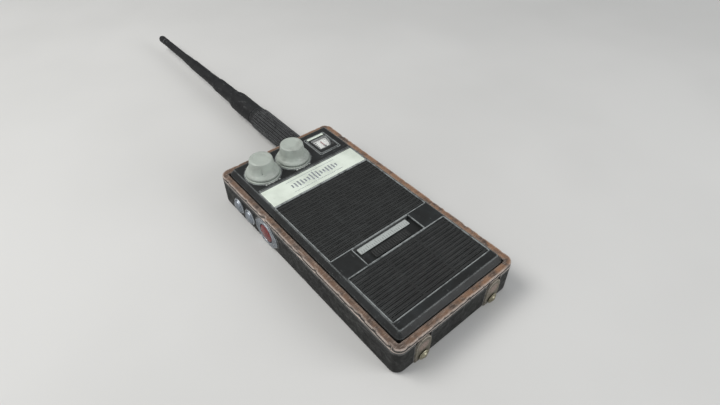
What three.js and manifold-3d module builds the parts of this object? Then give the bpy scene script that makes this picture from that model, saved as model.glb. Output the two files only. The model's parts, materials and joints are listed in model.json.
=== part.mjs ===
// Hand-held two-way radio in an open-fronted leather case, lying on its back.
// Millimetres. +X is the radio's right-hand side, +Y points along the antenna,
// +Z comes out of the face. The origin is the middle of the case's flat back.

import * as THREE from 'three';
import { mergeVertices } from 'three/addons/utils/BufferGeometryUtils.js';
import Module from 'manifold-3d';

const wasm = await Module();
wasm.setup();

// ---------------------------------------------------------------- driving dimensions

const GAP = 0.3;                    // clearance between pieces that rest on each other
const REACH = 400;                  // longer than anything here, for cutting tools
const PAST = 1;                     // how far a cutting tool runs past the face it opens
const CORNER_STEPS = 3;             // flats round each corner of an outline

const CASE_WIDTH = 80;
const CASE_LENGTH = 155;
const CASE_CORNER = 5;
const CASE_WALL = 1.8;
const CASE_FLOOR = 2.6;
const BACK_EDGE_ROUND = 2;

const RIM_TOP = 20.5;
const RIM_THICKNESS = 2.3;
const RIM_OPENING = { width: 72.2, length: 147.6, corner: 3.4 };
const RIM_BEVEL = { inset: 0.6, steps: 2, at: 'top' };

const HOUSING_WALL = 1.4;
const HOUSING_FLOOR = 1.3;

const PANEL_TOP = 24;
const PANEL_BASE = 17;
const PANEL_WIDTH = 71.6;
const PANEL_LENGTH = 147;
const PANEL_CORNER = 3.3;
const PANEL_BEVEL = { inset: 2.5, rise: 3.2, at: 'top' };
const PANEL_UNDERSIDE = 21;
const PANEL_WALL = 1.8;
const PANEL_INSIDE_BEVEL = { inset: 1.4, at: 'top' };

const GRILLE_WIDTH = 64.6;
const GRILLE_FLOOR = 22.3;          // ledge in the panel that a grille drops onto
const RIB_PITCH = 2.55;
const RIB_TOP = 23.6;
const RIB_VALLEY = 23;
const RIB_TOP_WIDTH = 1.2;
const RIB_FOOT_WIDTH = 1.34;
const SLOT_WIDTH = 0.4;             // a slot lies along the foot of each rib
const SLOT_COLUMNS = 3;
const SLOT_MARGIN = 1.9;
const GRILLES = { speaker_grille: { y: 3.2, ribs: 19 }, lower_grille: { y: -50.5, ribs: 12 } };
const GRILLE_LEDGE = 1.5;

const NAMEPLATE = { y: 35.85, width: 64.6, height: 14.4, seat: 23, top: 24.2 };
const BEAD = { y: 44.1, height: 1.5, top: 24.5 };

const KNOB_AXES = { volume: [-21.7, 57.2], squelch: [-0.5, 57.2] };
const POINTER_ANGLE = { volume: -2.1, squelch: 0.9 };
const KNOB_TOP = 35;
const KNOB_CROWN_RADIUS = 6.2;
const KNOB_SKIRT_RADIUS = 9.8;
const KNOB_BORE_TOP = 31.3;
const POINTER = { x: 7.4, length: 3.2, width: 0.7 };
const SHAFT = { radius: 2.7, bottom: 14.3, chamfer: 0.4 };
const BUSHING = { radius: 3.9, bottom: 20, top: 24.4 };
const POTENTIOMETER = { radius: 8, bottom: 12.5 };
const LUG = { pitch: 2.6, y: 8.6, width: 1.2, length: 2.6, bottom: 13, top: 13.6 };
const DISC = { radius: 10.4, thickness: 0.9, chamfer: 0.4, pocket: 0.5 };

const METER = { x: 21.9, y: 58.2, width: 14.7, length: 17.7 };
const DIAL = { x: 22.6, y: 58.3, width: 10.4, length: 10 };
const DIAL_TOP = 22.9;
const DIAL_THICKNESS = 0.6;
const NEEDLE_PIVOT = -2.8;          // below the middle of the dial
const NEEDLE = { width: 0.5, length: 6.2, middle: 2.2, bottom: 23.15, top: 23.4, pivot: 0.8 };
const METER_CUP = { width: 12.2, length: 14, bottom: 11, floor: 12.2 };
const METER_FLANGE = { bottom: 21, top: 24.3 };
const METER_WINDOW = { lip: 0.3, thickness: 0.3 };
const TRIM_BAR = { y: 7.25, width: 12, length: 1.6, bottom: 24.2, top: 24.6 };

const CHANNEL = { x: -0.4, y: -28.2, width: 38.2, length: 12.4, floor: 21.9 };
const CHANNEL_SCALE = { x: -0.4, y: -24.3, width: 33.6, length: 4.2, thickness: 0.5 };
const SLIDER = { x: -0.5, y: -30.5, width: 24, length: 5.2, top: 23.1, travel: 6 };
const SLIDER_RIDGES = { count: 15, pitch: 1.5, width: 0.7, top: 23.5 };
const SLIDER_STEM = { width: 4, length: 1.4, bottom: 20.6 };
const CHANNEL_SWITCH = { width: 30, length: 6, bottom: 19.2, top: 20.7, groove: 20 };

const PTT = { y: 27.6, z: 9.6, radius: 5.6, travel: 1.2, height: 16.4, length: 21, chamfer: 5.4 };
const PTT_POCKET = 0.8;             // depth of the plate's seat in the leather
const PTT_PLATE_FACE = 0.5;
const PTT_RING_RADIUS = 7.3;
const PTT_STEM = { radius: 2.5, bottom: -5 };
const PTT_FLANGE = -3.6;            // foot of the wide part of the button
const PTT_SWITCH = { height: 6, length: 12.6, depth: 6 };
const SIDE_HOLE_DEPTH = 5.4;        // clears a pressed button's flange inside the housing
const SIDE_BUTTON = { upper: 57, lower: 45, z: 9, radius: 4, travel: 1.2 };
const SIDE_COLLAR = { radius: 4.9, thickness: 0.9, chamfer: 0.4 };
const SIDE_STEM = { radius: 1.8, bottom: -4.6 };
const SIDE_FLANGE = -3.4;
const SIDE_SWITCH = { height: 5, length: 6, depth: 3.2 };

const ANTENNA_AXIS = { x: 16.1, z: 10.25 };
const GRIP_RADIUS = 7.9;
const GRIP_RIBS = 24;
const GRIP_GROOVE = 0.92;           // groove radius over rib radius
const GRIP_END = 50.5;
const WHIP_STEPS = [[7.1, 53.5], [7.05, 77.5], [5.5, 83.5], [5.25, 107.5], [4.5, 110.5],
  [4.45, 116.5], [4.2, 122.5], [4.1, 148.5], [3.6, 152.5], [3.55, 160.5], [3.05, 167.5]];
const WHIP_END = 203;
const WHIP_END_RADIUS = 2.95;
const WHIP_SPIGOT = { radius: 3.7, length: 8 };
const TIP_END = 213.5;
const TIP_SPIGOT = { radius: 1.2, length: 5.4 };
const THREAD = { radius: 2.6, end: 8.4, chamfer: 0.6 };
const CONNECTOR = { radius: 4.3, nut: 5.2, nutThickness: 1.4, back: -11, backRadius: 3.7 };

const STRAPS = { left: -24.1, right: 24.3 };
const STRAP_WIDTH = 9.4;
const STRAP_THICKNESS = 1.1;
const STRAP_POCKET = 0.5;           // depth of a strap's seat in the leather
const STRAP_TOP = 17.8;
const STRAP_BEVEL = { inset: 0.25 };
const STRAP_ANCHOR = { start: 0.8, end: 10.4, corner: 0.8 };     // measured from the end wall
const SNAP_HEIGHT = 5;
const SNAP_CAP = { radius: 3, inner: 1.9, rim: 0.6, crown: 1.5 };
const SNAP_STUD = { radius: 1.3, head: 0.2 };

const SPEAKER = { y: 3.2, radius: 23.5, wall: 2.1, bottom: 10.9, foot: 12.5, step: 18.6, sheet: 1 };
const MAGNET = { radius: 11, bottom: 6.6, top: 10.6 };
const CONE_PROFILE = [[3, 14], [6.4, 13], [21, 19.6], [21, 20.2], [6.2, 13.7], [3.2, 14.8]];
const CONE_MIDDLE = { bottom: 14.4, top: 15.3 };
const MICROPHONE = { x: 15, y: -55.5, radius: 3, bottom: 17.8, top: 20.7 };
const CELL = { radius: 7.1, length: 50.5, pitch: 14.6, y: -48.2, z: 11.6, count: 3 };
const CELL_NUB = { radius: 2.6, length: 1.4 };
const BATTERY_DOOR = { width: 52, corner: 1.5, bevel: 0.3 };
const BATTERY_HOLDER = { width: 52.4, wall: 1, top: 17.5 };
const BOARD = { y: 25.4, width: 70, length: 92, bottom: 4.5, top: 6.1 };
const POST = { x: 31.3, y: 69, radius: 2.6, pilot: 1.5, pilotEnd: 15 };
const BOSS = { radius: 3.6, top: 6.4 };
const SCREW = { head: 3.2, headRadius: 2.4, neck: 4.5, radius: 1.2, end: 14.4 };

// ---------------------------------------------------------------- dimensions that follow

const CASE_TOP = RIM_TOP - RIM_THICKNESS - GAP;
const HOUSING_WIDTH = CASE_WIDTH - 2 * (CASE_WALL + GAP);
const HOUSING_LENGTH = CASE_LENGTH - 2 * (CASE_WALL + GAP);
const HOUSING_BASE = CASE_FLOOR + GAP;
const HOUSING_INSIDE = HOUSING_BASE + HOUSING_FLOOR;
const HOUSING_TOP = CASE_TOP - GAP;
const DISC_BASE = PANEL_TOP - DISC.pocket + GAP;
const DISC_TOP = DISC_BASE + DISC.thickness;
const DIAL_X = DIAL.x - METER.x;
const DIAL_Y = DIAL.y - METER.y;
const STRAP_FOOT = GAP - STRAP_POCKET;
const BATTERY_LENGTH = CELL.count * CELL.pitch;
const STEM_SLOT = [2 * SLIDER.travel + SLIDER_STEM.width + 1, SLIDER_STEM.length + 0.8];

// ---------------------------------------------------------------- materials

function finish(color, roughness, metalness = 0) {
  return new THREE.MeshStandardMaterial({ color, roughness, metalness });
}

const BLACK_LEATHER = finish(0x2b2a2a, 0.75);
const BROWN_LEATHER = finish(0x7a563f, 0.7);
const OLIVE_LEATHER = finish(0x6a6150, 0.8);
const BLACK_PLASTIC = finish(0x2a2c2c, 0.5);
const GREY_PLASTIC = finish(0xaab2aa, 0.45);
const RED_PLASTIC = finish(0x8c2328, 0.35);
const RUBBER = finish(0x2c2e30, 0.7);
const SILVER = finish(0xe0e6df, 0.35, 0.5);
const STEEL = finish(0x8c96a5, 0.35, 0.9);
const BRASS = finish(0xb9a878, 0.35, 0.9);
const PAPER = finish(0x4c4a44, 0.9);
const WHITE_PRINT = finish(0xe8ebe6, 0.6);
const CLEAR = finish(0xdfe6e4, 0.1);
const CIRCUIT_GREEN = finish(0x2e5a3c, 0.6);

// ---------------------------------------------------------------- solids

function solid(geometry) {
  const bare = geometry.clone();
  bare.deleteAttribute('normal');
  bare.deleteAttribute('uv');
  const merged = mergeVertices(bare);
  return new wasm.Manifold(new wasm.Mesh({
    numProp: 3,
    vertProperties: new Float32Array(merged.attributes.position.array),
    triVerts: new Uint32Array(merged.index.array),
  }));
}

function piece(name, shape, material, at = [0, 0, 0]) {
  const { vertProperties, triVerts } = shape.getMesh();
  const geometry = new THREE.BufferGeometry();
  geometry.setAttribute('position', new THREE.BufferAttribute(vertProperties, 3));
  geometry.setIndex(new THREE.BufferAttribute(triVerts, 1));
  geometry.computeVertexNormals();
  const mesh = new THREE.Mesh(geometry, material.clone());
  mesh.name = name;
  mesh.position.set(...at);
  return mesh;
}

function box([x, y], [width, length], bottom, top) {
  const geometry = new THREE.BoxGeometry(width, length, top - bottom);
  return solid(geometry.translate(x, y, (bottom + top) / 2));
}

// A round bar standing on the XY plane's point [x, y].
function bar([x, y], radius, bottom, top, sides = 20) {
  const geometry = new THREE.CylinderGeometry(radius, radius, top - bottom, sides);
  return solid(geometry.rotateX(Math.PI / 2).translate(x, y, (bottom + top) / 2));
}

// A turned shape about Z from [radius, height] points that start and end on the axis.
function turned(profile, sides = 24) {
  const points = profile.map(([radius, height]) => new THREE.Vector2(radius, height));
  return new THREE.LatheGeometry(points, sides).rotateX(Math.PI / 2);
}

function roundedRectangle(width, length, corner, [x, y] = [0, 0]) {
  const [w, l] = [width / 2, length / 2];
  const outline = new THREE.Shape();
  outline.moveTo(x - w + corner, y - l);
  outline.lineTo(x + w - corner, y - l);
  outline.absarc(x + w - corner, y - l + corner, corner, -Math.PI / 2, 0);
  outline.lineTo(x + w, y + l - corner);
  outline.absarc(x + w - corner, y + l - corner, corner, 0, Math.PI / 2);
  outline.lineTo(x - w + corner, y + l);
  outline.absarc(x - w + corner, y + l - corner, corner, Math.PI / 2, Math.PI);
  outline.lineTo(x - w, y - l + corner);
  outline.absarc(x - w + corner, y - l + corner, corner, Math.PI, 1.5 * Math.PI);
  return outline;
}

// An outline made into a slab. A bevel may run round both faces or only one.
function slab(outline, bottom, top, bevel = null) {
  if (!bevel) {
    const plain = { depth: top - bottom, bevelEnabled: false, curveSegments: CORNER_STEPS };
    return solid(new THREE.ExtrudeGeometry(outline, plain).translate(0, 0, bottom));
  }
  const { inset, rise = inset, steps = 1, at = 'both' } = bevel;
  const low = at === 'top' ? bottom - 2 * rise : bottom;
  const high = at === 'bottom' ? top + 2 * rise : top;
  const geometry = new THREE.ExtrudeGeometry(outline, {
    depth: high - low - 2 * rise,
    bevelThickness: rise,
    bevelSize: inset,
    bevelOffset: -inset,
    bevelSegments: steps,
    curveSegments: CORNER_STEPS,
  });
  const body = solid(geometry.translate(0, 0, low + rise));
  return body.intersect(box([0, 0], [REACH, REACH], bottom, top));
}

// Turns a solid built along +Z so that it points out of one of the case's walls.
const OUT_OF_LEFT = new THREE.Matrix4().makeRotationY(-Math.PI / 2);
const OUT_OF_TOP = new THREE.Matrix4().makeRotationX(-Math.PI / 2);
const OUT_OF_BOTTOM = new THREE.Matrix4().makeRotationX(Math.PI / 2);

function hole(direction, radius, depth, [x, y, z]) {
  const geometry = new THREE.CylinderGeometry(radius, radius, 2 * depth, 20);
  return solid(geometry.rotateX(Math.PI / 2).applyMatrix4(direction).translate(x, y, z));
}

function join(first, ...others) {
  return others.reduce((whole, part) => whole.add(part), first);
}

function cut(whole, ...tools) {
  return tools.reduce((rest, tool) => rest.subtract(tool), whole);
}

// ---------------------------------------------------------------- leather case

const leftWall = -CASE_WIDTH / 2;
const endWall = -CASE_LENGTH / 2;
const sideControls = [
  PTT,
  { ...SIDE_BUTTON, y: SIDE_BUTTON.upper },
  { ...SIDE_BUTTON, y: SIDE_BUTTON.lower },
];

function sideHoles() {
  return sideControls.map(({ y, z, radius }) =>
    hole(OUT_OF_LEFT, radius + 2 * GAP, SIDE_HOLE_DEPTH, [leftWall, y, z]));
}

function connectorHole() {
  const { x, z } = ANTENNA_AXIS;
  return hole(OUT_OF_TOP, CONNECTOR.radius + GAP, CASE_WALL + GAP + HOUSING_WALL + GAP, [x, -endWall, z]);
}

function leatherCase() {
  const outside = slab(roundedRectangle(CASE_WIDTH, CASE_LENGTH, CASE_CORNER), 0, CASE_TOP,
    { inset: BACK_EDGE_ROUND, steps: 3, at: 'bottom' });
  const inside = slab(roundedRectangle(CASE_WIDTH - 2 * CASE_WALL, CASE_LENGTH - 2 * CASE_WALL,
    CASE_CORNER - CASE_WALL), CASE_FLOOR, RIM_TOP);
  const strapSeats = Object.values(STRAPS).map((x) => join(
    box([x, endWall], [STRAP_WIDTH + 2 * GAP, 2 * (STRAP_ANCHOR.end + GAP)], -PAST,
      STRAP_THICKNESS + GAP),
    box([x, endWall], [STRAP_WIDTH + 2 * GAP, 2 * STRAP_POCKET], -PAST, RIM_TOP)));
  const plateSeat = solid(new THREE.ExtrudeGeometry(
    octagon(PTT.height + 2 * GAP, PTT.length + 2 * GAP, PTT.chamfer),
    { depth: 2 * PTT_POCKET, bevelEnabled: false },
  ).translate(0, 0, -PTT_POCKET).applyMatrix4(OUT_OF_LEFT).translate(leftWall, PTT.y, PTT.z));
  const studHoles = Object.values(STRAPS).map((x) =>
    hole(OUT_OF_BOTTOM, SNAP_STUD.radius + GAP, 2 * CASE_WALL, [x, endWall, SNAP_HEIGHT]));
  return cut(outside, inside, ...sideHoles(), connectorHole(), ...strapSeats, ...studHoles,
    plateSeat);
}

function caseRim() {
  const { width, length, corner } = RIM_OPENING;
  const outline = roundedRectangle(CASE_WIDTH, CASE_LENGTH, CASE_CORNER);
  outline.holes.push(roundedRectangle(width, length, corner));
  return slab(outline, RIM_TOP - RIM_THICKNESS, RIM_TOP, RIM_BEVEL);
}

// A strap is one leather strip: a part stitched under the back and a tab that lifts.
function strapTab() {
  const half = STRAP_WIDTH / 2;
  const outline = new THREE.Shape();
  outline.moveTo(-half, -STRAP_THICKNESS);
  outline.lineTo(-half, -STRAP_TOP + half);
  outline.absarc(0, -STRAP_TOP + half, half, Math.PI, 2 * Math.PI);
  outline.lineTo(half, -STRAP_THICKNESS);
  const strip = slab(outline, STRAP_FOOT, STRAP_FOOT + STRAP_THICKNESS, STRAP_BEVEL);
  return strip.subtract(bar([0, -SNAP_HEIGHT], SNAP_CAP.inner + GAP, STRAP_FOOT - PAST,
    STRAP_FOOT + STRAP_THICKNESS + PAST, 16));
}

function snapCap() {
  const { radius, inner, rim, crown } = SNAP_CAP;
  const foot = STRAP_FOOT + STRAP_THICKNESS + GAP;
  return solid(turned([[0, foot + SNAP_STUD.head + rim], [inner, foot + SNAP_STUD.head + rim],
    [inner, foot], [radius, foot], [radius, foot + rim], [radius - 1, foot + crown - 0.2],
    [0, foot + crown]], 16));
}

function snapStud() {
  const { radius, head } = SNAP_STUD;
  const neck = STRAP_FOOT + STRAP_THICKNESS + 2 * GAP;
  return solid(turned([[0, GAP - CASE_WALL], [radius, GAP - CASE_WALL], [radius, neck],
    [radius - 2 * head, neck + head], [0, neck + head]], 12));
}

function straps() {
  const group = new THREE.Group();
  for (const [side, x] of Object.entries(STRAPS)) {
    const end = new THREE.Group();
    end.position.set(x, endWall, 0);
    end.rotation.x = Math.PI / 2;
    const upright = new THREE.Group();
    upright.rotation.z = Math.PI;
    upright.add(piece(`strap_tab_${side}`, strapTab(), OLIVE_LEATHER));
    upright.add(piece(`snap_cap_${side}`, snapCap(), BRASS, [0, -SNAP_HEIGHT, 0]));
    upright.add(piece(`snap_stud_${side}`, snapStud(), BRASS, [0, -SNAP_HEIGHT, 0]));
    end.add(upright);
    group.add(end);
    const { start, end: stop, corner } = STRAP_ANCHOR;
    const anchor = slab(roundedRectangle(STRAP_WIDTH, stop - start, corner), 0, STRAP_THICKNESS);
    const middle = endWall + (start + stop) / 2;
    group.add(piece(`strap_anchor_${side}`, anchor, OLIVE_LEATHER, [x, middle, 0]));
  }
  return group;
}

// ---------------------------------------------------------------- housing and front panel

const corners = [[-1, -1], [1, -1], [1, 1], [-1, 1]].map(([x, y]) => [x * POST.x, y * POST.y]);

function rearHousing() {
  const outside = slab(roundedRectangle(HOUSING_WIDTH, HOUSING_LENGTH, CASE_CORNER - CASE_WALL),
    HOUSING_BASE, HOUSING_TOP);
  const inside = slab(roundedRectangle(HOUSING_WIDTH - 2 * HOUSING_WALL,
    HOUSING_LENGTH - 2 * HOUSING_WALL, CASE_CORNER - CASE_WALL - HOUSING_WALL), HOUSING_INSIDE,
  HOUSING_TOP + PAST);
  const bosses = corners.map((corner) => bar(corner, BOSS.radius, HOUSING_BASE, BOSS.top, 16));
  const screwHoles = corners.map((corner) => join(
    bar(corner, POST.pilot, HOUSING_BASE - PAST, BOSS.top + PAST, 12),
    bar(corner, SCREW.headRadius + GAP, HOUSING_BASE - PAST, SCREW.neck + GAP, 12)));
  const doorway = box([0, CELL.y], [BATTERY_DOOR.width + 2 * GAP, BATTERY_LENGTH + 2 * GAP],
    HOUSING_BASE - PAST, HOUSING_INSIDE + PAST);
  return cut(join(cut(outside, inside), ...bosses), ...screwHoles, doorway, ...sideHoles(),
    connectorHole());
}

function batteryDoor() {
  const { width, corner, bevel } = BATTERY_DOOR;
  return slab(roundedRectangle(width, BATTERY_LENGTH, corner, [0, CELL.y]), HOUSING_BASE,
    HOUSING_INSIDE, { inset: bevel });
}

function screw() {
  const { head, headRadius, neck, radius, end } = SCREW;
  return solid(turned([[0, head], [headRadius, head], [headRadius, neck - 0.4], [radius, neck],
    [radius, end - 0.4], [0, end]], 10));
}

function grilleLength(ribs) {
  return ribs * RIB_PITCH;
}

function panelOpenings() {
  const openings = [];
  for (const { y, ribs } of Object.values(GRILLES)) {
    const length = grilleLength(ribs);
    const seat = [GRILLE_WIDTH + 2 * GAP, length + 2 * GAP];
    const throughHole = [GRILLE_WIDTH - 2 * GRILLE_LEDGE, length - 2 * GRILLE_LEDGE];
    openings.push(box([0, y], seat, GRILLE_FLOOR, PANEL_TOP + PAST));
    openings.push(box([0, y], throughHole, PANEL_BASE, PANEL_TOP));
  }
  for (const axis of Object.values(KNOB_AXES)) {
    openings.push(bar(axis, BUSHING.radius + GAP, PANEL_BASE, PANEL_TOP + PAST, 16));
    openings.push(bar(axis, DISC.radius + GAP, PANEL_TOP - DISC.pocket, PANEL_TOP + PAST, 32));
  }
  openings.push(box([0, NAMEPLATE.y], [NAMEPLATE.width + 2 * GAP, NAMEPLATE.height + 2 * GAP],
    NAMEPLATE.seat, PANEL_TOP + PAST));
  openings.push(box([METER.x, METER.y], [METER.width, METER.length], PANEL_BASE, PANEL_TOP + PAST));
  openings.push(slab(roundedRectangle(CHANNEL.width, CHANNEL.length, 0.8, [CHANNEL.x, CHANNEL.y]),
    CHANNEL.floor, PANEL_TOP + PAST));
  openings.push(box([SLIDER.x, SLIDER.y], STEM_SLOT, PANEL_BASE, PANEL_TOP));
  return openings;
}

function frontPanel() {
  const outside = slab(roundedRectangle(PANEL_WIDTH, PANEL_LENGTH, PANEL_CORNER), PANEL_BASE,
    PANEL_TOP, PANEL_BEVEL);
  const bead = slab(roundedRectangle(GRILLE_WIDTH, BEAD.height, 0.5, [0, BEAD.y]),
    PANEL_TOP - PAST, BEAD.top, { inset: 0.3, at: 'top' });
  const inside = slab(roundedRectangle(PANEL_WIDTH - 2 * PANEL_WALL, PANEL_LENGTH - 2 * PANEL_WALL,
    PANEL_CORNER - 1), PANEL_BASE - PAST, PANEL_UNDERSIDE, PANEL_INSIDE_BEVEL);
  const posts = corners.map((corner) =>
    bar(corner, POST.radius, BOSS.top + GAP, PANEL_UNDERSIDE + PAST, 12));
  const pilots = corners.map((corner) => bar(corner, POST.pilot, BOSS.top, POST.pilotEnd, 12));
  const shell = join(cut(join(outside, bead), inside), ...posts);
  return cut(shell, ...pilots, ...panelOpenings());
}

// A grille is a ribbed plate with columns of fine slots between the ribs.
function grille(ribs) {
  const length = grilleLength(ribs);
  const bottom = GRILLE_FLOOR + GAP;
  const section = new THREE.Shape();
  section.moveTo(-length / 2, bottom);
  section.lineTo(length / 2, bottom);
  for (let rib = ribs - 1; rib >= 0; rib -= 1) {
    const middle = (rib + 0.5) * RIB_PITCH - length / 2;
    section.lineTo(middle + RIB_PITCH / 2, RIB_VALLEY);
    section.lineTo(middle + RIB_FOOT_WIDTH / 2, RIB_VALLEY);
    section.lineTo(middle + RIB_TOP_WIDTH / 2, RIB_TOP);
    section.lineTo(middle - RIB_TOP_WIDTH / 2, RIB_TOP);
    section.lineTo(middle - RIB_FOOT_WIDTH / 2, RIB_VALLEY);
  }
  section.lineTo(-length / 2, RIB_VALLEY);
  const across = new THREE.ExtrudeGeometry(section, { depth: GRILLE_WIDTH, bevelEnabled: false });
  across.translate(0, 0, -GRILLE_WIDTH / 2);
  const xIsDepth = new THREE.Matrix4().makeBasis(
    new THREE.Vector3(0, 1, 0), new THREE.Vector3(0, 0, 1), new THREE.Vector3(1, 0, 0));
  const plate = solid(across.applyMatrix4(xIsDepth));
  const column = (GRILLE_WIDTH - SLOT_MARGIN) / SLOT_COLUMNS;
  const slots = [];
  for (let valley = 1; valley < ribs; valley += 1) {
    for (let step = 0; step < SLOT_COLUMNS; step += 1) {
      const x = (step - (SLOT_COLUMNS - 1) / 2) * column;
      const ribFoot = (valley + 0.5) * RIB_PITCH - length / 2 - RIB_FOOT_WIDTH / 2;
      slots.push(box([x, ribFoot - SLOT_WIDTH / 2 - 0.05], [column - SLOT_MARGIN, SLOT_WIDTH],
        bottom - PAST, RIB_TOP));
    }
  }
  return cut(plate, ...slots);
}

function nameplate() {
  return slab(roundedRectangle(NAMEPLATE.width, NAMEPLATE.height, 0.6, [0, NAMEPLATE.y]),
    NAMEPLATE.seat + GAP, NAMEPLATE.top, { inset: 0.25, at: 'top' });
}

// ---------------------------------------------------------------- knobs

function indexDisc() {
  const { radius, chamfer } = DISC;
  const disc = solid(turned([[0, DISC_BASE], [radius, DISC_BASE], [radius, DISC_TOP - chamfer],
    [radius - chamfer, DISC_TOP], [0, DISC_TOP]], 32));
  return disc.subtract(bar([0, 0], BUSHING.radius + GAP, DISC_BASE - PAST, DISC_TOP + PAST));
}

function knob(pointerAngle) {
  const bottom = DISC_TOP + GAP;
  const skirt = KNOB_SKIRT_RADIUS;
  const crown = KNOB_CROWN_RADIUS;
  const coneFoot = bottom + 1.9;
  const body = solid(turned([[0, bottom], [skirt - 0.3, bottom], [skirt, bottom + 0.4],
    [skirt, bottom + 1.2], [skirt - 0.6, coneFoot], [skirt - 1.4, coneFoot + 0.6],
    [crown + 1.5, coneFoot + 2.2], [crown + 0.5, KNOB_TOP - 0.7], [crown, KNOB_TOP],
    [0, KNOB_TOP]], 40));
  const groove = new THREE.BoxGeometry(POINTER.length, POINTER.width, KNOB_TOP)
    .translate(POINTER.x, 0, KNOB_TOP / 2 + coneFoot)
    .rotateZ(pointerAngle);
  const bore = bar([0, 0], SHAFT.radius + GAP, bottom - PAST, KNOB_BORE_TOP, 16);
  return cut(body, bore, solid(groove));
}

function potentiometer() {
  const body = bar([0, 0], POTENTIOMETER.radius, POTENTIOMETER.bottom, PANEL_UNDERSIDE - GAP, 24);
  const bushing = bar([0, 0], BUSHING.radius, BUSHING.bottom, BUSHING.top, 16);
  const lugs = [-LUG.pitch, 0, LUG.pitch].map((x) =>
    box([x, LUG.y], [LUG.width, LUG.length], LUG.bottom, LUG.top));
  const bore = bar([0, 0], SHAFT.radius + GAP, SHAFT.bottom - GAP, BUSHING.top + PAST, 16);
  return cut(join(body, bushing, ...lugs), bore);
}

function potShaft() {
  const { radius, bottom, chamfer } = SHAFT;
  const top = KNOB_BORE_TOP - GAP;
  return solid(turned([[0, bottom], [radius, bottom], [radius, top - chamfer],
    [radius - chamfer, top], [0, top]], 16));
}

function knobSet(name, [x, y]) {
  const group = new THREE.Group();
  group.position.set(x, y, 0);
  group.add(piece(`${name}_index_disc`, indexDisc(), GREY_PLASTIC));
  group.add(piece(`${name}_knob`, knob(POINTER_ANGLE[name]), GREY_PLASTIC));
  group.add(piece(`${name}_shaft`, potShaft(), STEEL));
  group.add(piece(`${name}_potentiometer`, potentiometer(), STEEL));
  return group;
}

// ---------------------------------------------------------------- meter

function meterHousing() {
  const flange = slab(roundedRectangle(METER.width - 2 * GAP, METER.length - 2 * GAP, 1),
    METER_FLANGE.bottom, METER_FLANGE.top, { inset: 0.4, at: 'top' });
  const cup = box([0, 0], [METER_CUP.width, METER_CUP.length], METER_CUP.bottom,
    METER_FLANGE.bottom + 0.5);
  const top = METER_FLANGE.top + PAST;
  const middle = [DIAL_X, DIAL_Y];
  const opening = box(middle, [DIAL.width, DIAL.length], DIAL_TOP - DIAL_THICKNESS - GAP, top);
  const lip = 2 * (METER_WINDOW.lip + GAP);
  const seatFloor = METER_FLANGE.top - METER_WINDOW.thickness - GAP;
  const windowSeat = box(middle, [DIAL.width + lip, DIAL.length + lip], seatFloor, top);
  const well = box([0, DIAL_Y], [DIAL.width - 1, DIAL.length - 1], METER_CUP.floor, DIAL_TOP);
  const barSeat = box([0, TRIM_BAR.y], [TRIM_BAR.width + 2 * GAP, TRIM_BAR.length + 2 * GAP],
    TRIM_BAR.bottom - GAP, top);
  return cut(join(flange, cup), opening, windowSeat, well, barSeat);
}

function meterDial() {
  const { width, length } = DIAL;
  const face = slab(roundedRectangle(width - 2 * GAP, length - 2 * GAP, 0.4),
    DIAL_TOP - DIAL_THICKNESS, DIAL_TOP);
  return face.subtract(bar([0, NEEDLE_PIVOT], NEEDLE.pivot + GAP, DIAL_TOP - PAST, DIAL_TOP + PAST, 12));
}

function meterNeedle() {
  const { width, length, middle, bottom, top, pivot } = NEEDLE;
  const blade = slab(roundedRectangle(width, length, 0.2, [0, middle]), bottom, top);
  return join(blade, bar([0, 0], pivot, METER_FLANGE.bottom + 0.5, top, 12));
}

function meterWindow() {
  const { lip, thickness } = METER_WINDOW;
  return slab(roundedRectangle(DIAL.width + 2 * lip, DIAL.length + 2 * lip, 0.5),
    METER_FLANGE.top - thickness, METER_FLANGE.top);
}

function trimBar() {
  const { width, length, bottom, top } = TRIM_BAR;
  return slab(roundedRectangle(width, length, 0.4), bottom, top, { inset: 0.15, at: 'top' });
}

function meterSet() {
  const group = new THREE.Group();
  group.position.set(METER.x, METER.y, 0);
  group.add(piece('meter_housing', meterHousing(), BLACK_PLASTIC));
  group.add(piece('meter_dial', meterDial(), WHITE_PRINT, [DIAL_X, DIAL_Y, 0]));
  group.add(piece('meter_needle', meterNeedle(), RED_PLASTIC, [DIAL_X, DIAL_Y + NEEDLE_PIVOT, 0]));
  group.add(piece('meter_window', meterWindow(), CLEAR, [DIAL_X, DIAL_Y, 0]));
  group.add(piece('meter_trim_bar', trimBar(), SILVER, [0, TRIM_BAR.y, 0]));
  return group;
}

// ---------------------------------------------------------------- channel selector

function channelScale() {
  const { x, y, width, length, thickness } = CHANNEL_SCALE;
  const bottom = CHANNEL.floor + GAP;
  return slab(roundedRectangle(width, length, 0.3, [x, y]), bottom, bottom + thickness);
}

// The slider's thumb pad is ridged across its travel; its stem reaches the switch.
function channelSlider() {
  const bottom = CHANNEL.floor + GAP;
  const pad = slab(roundedRectangle(SLIDER.width, SLIDER.length, 0.6), bottom, SLIDER.top,
    { inset: 0.2, at: 'top' });
  const { count, pitch, width, top } = SLIDER_RIDGES;
  const ridges = [];
  for (let i = 0; i < count; i += 1) {
    const x = (i - (count - 1) / 2) * pitch;
    ridges.push(box([x, 0], [width, SLIDER.length - 1], bottom + GAP, top));
  }
  const stem = box([0, 0], [SLIDER_STEM.width, SLIDER_STEM.length], SLIDER_STEM.bottom,
    bottom + GAP);
  return join(pad, ...ridges, stem);
}

function channelSwitch() {
  const { width, length, bottom, top, groove } = CHANNEL_SWITCH;
  const body = slab(roundedRectangle(width, length, 0.5, [SLIDER.x, SLIDER.y]), bottom, top);
  return body.subtract(box([SLIDER.x, SLIDER.y], STEM_SLOT, groove, top + PAST));
}

// ---------------------------------------------------------------- side controls

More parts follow.
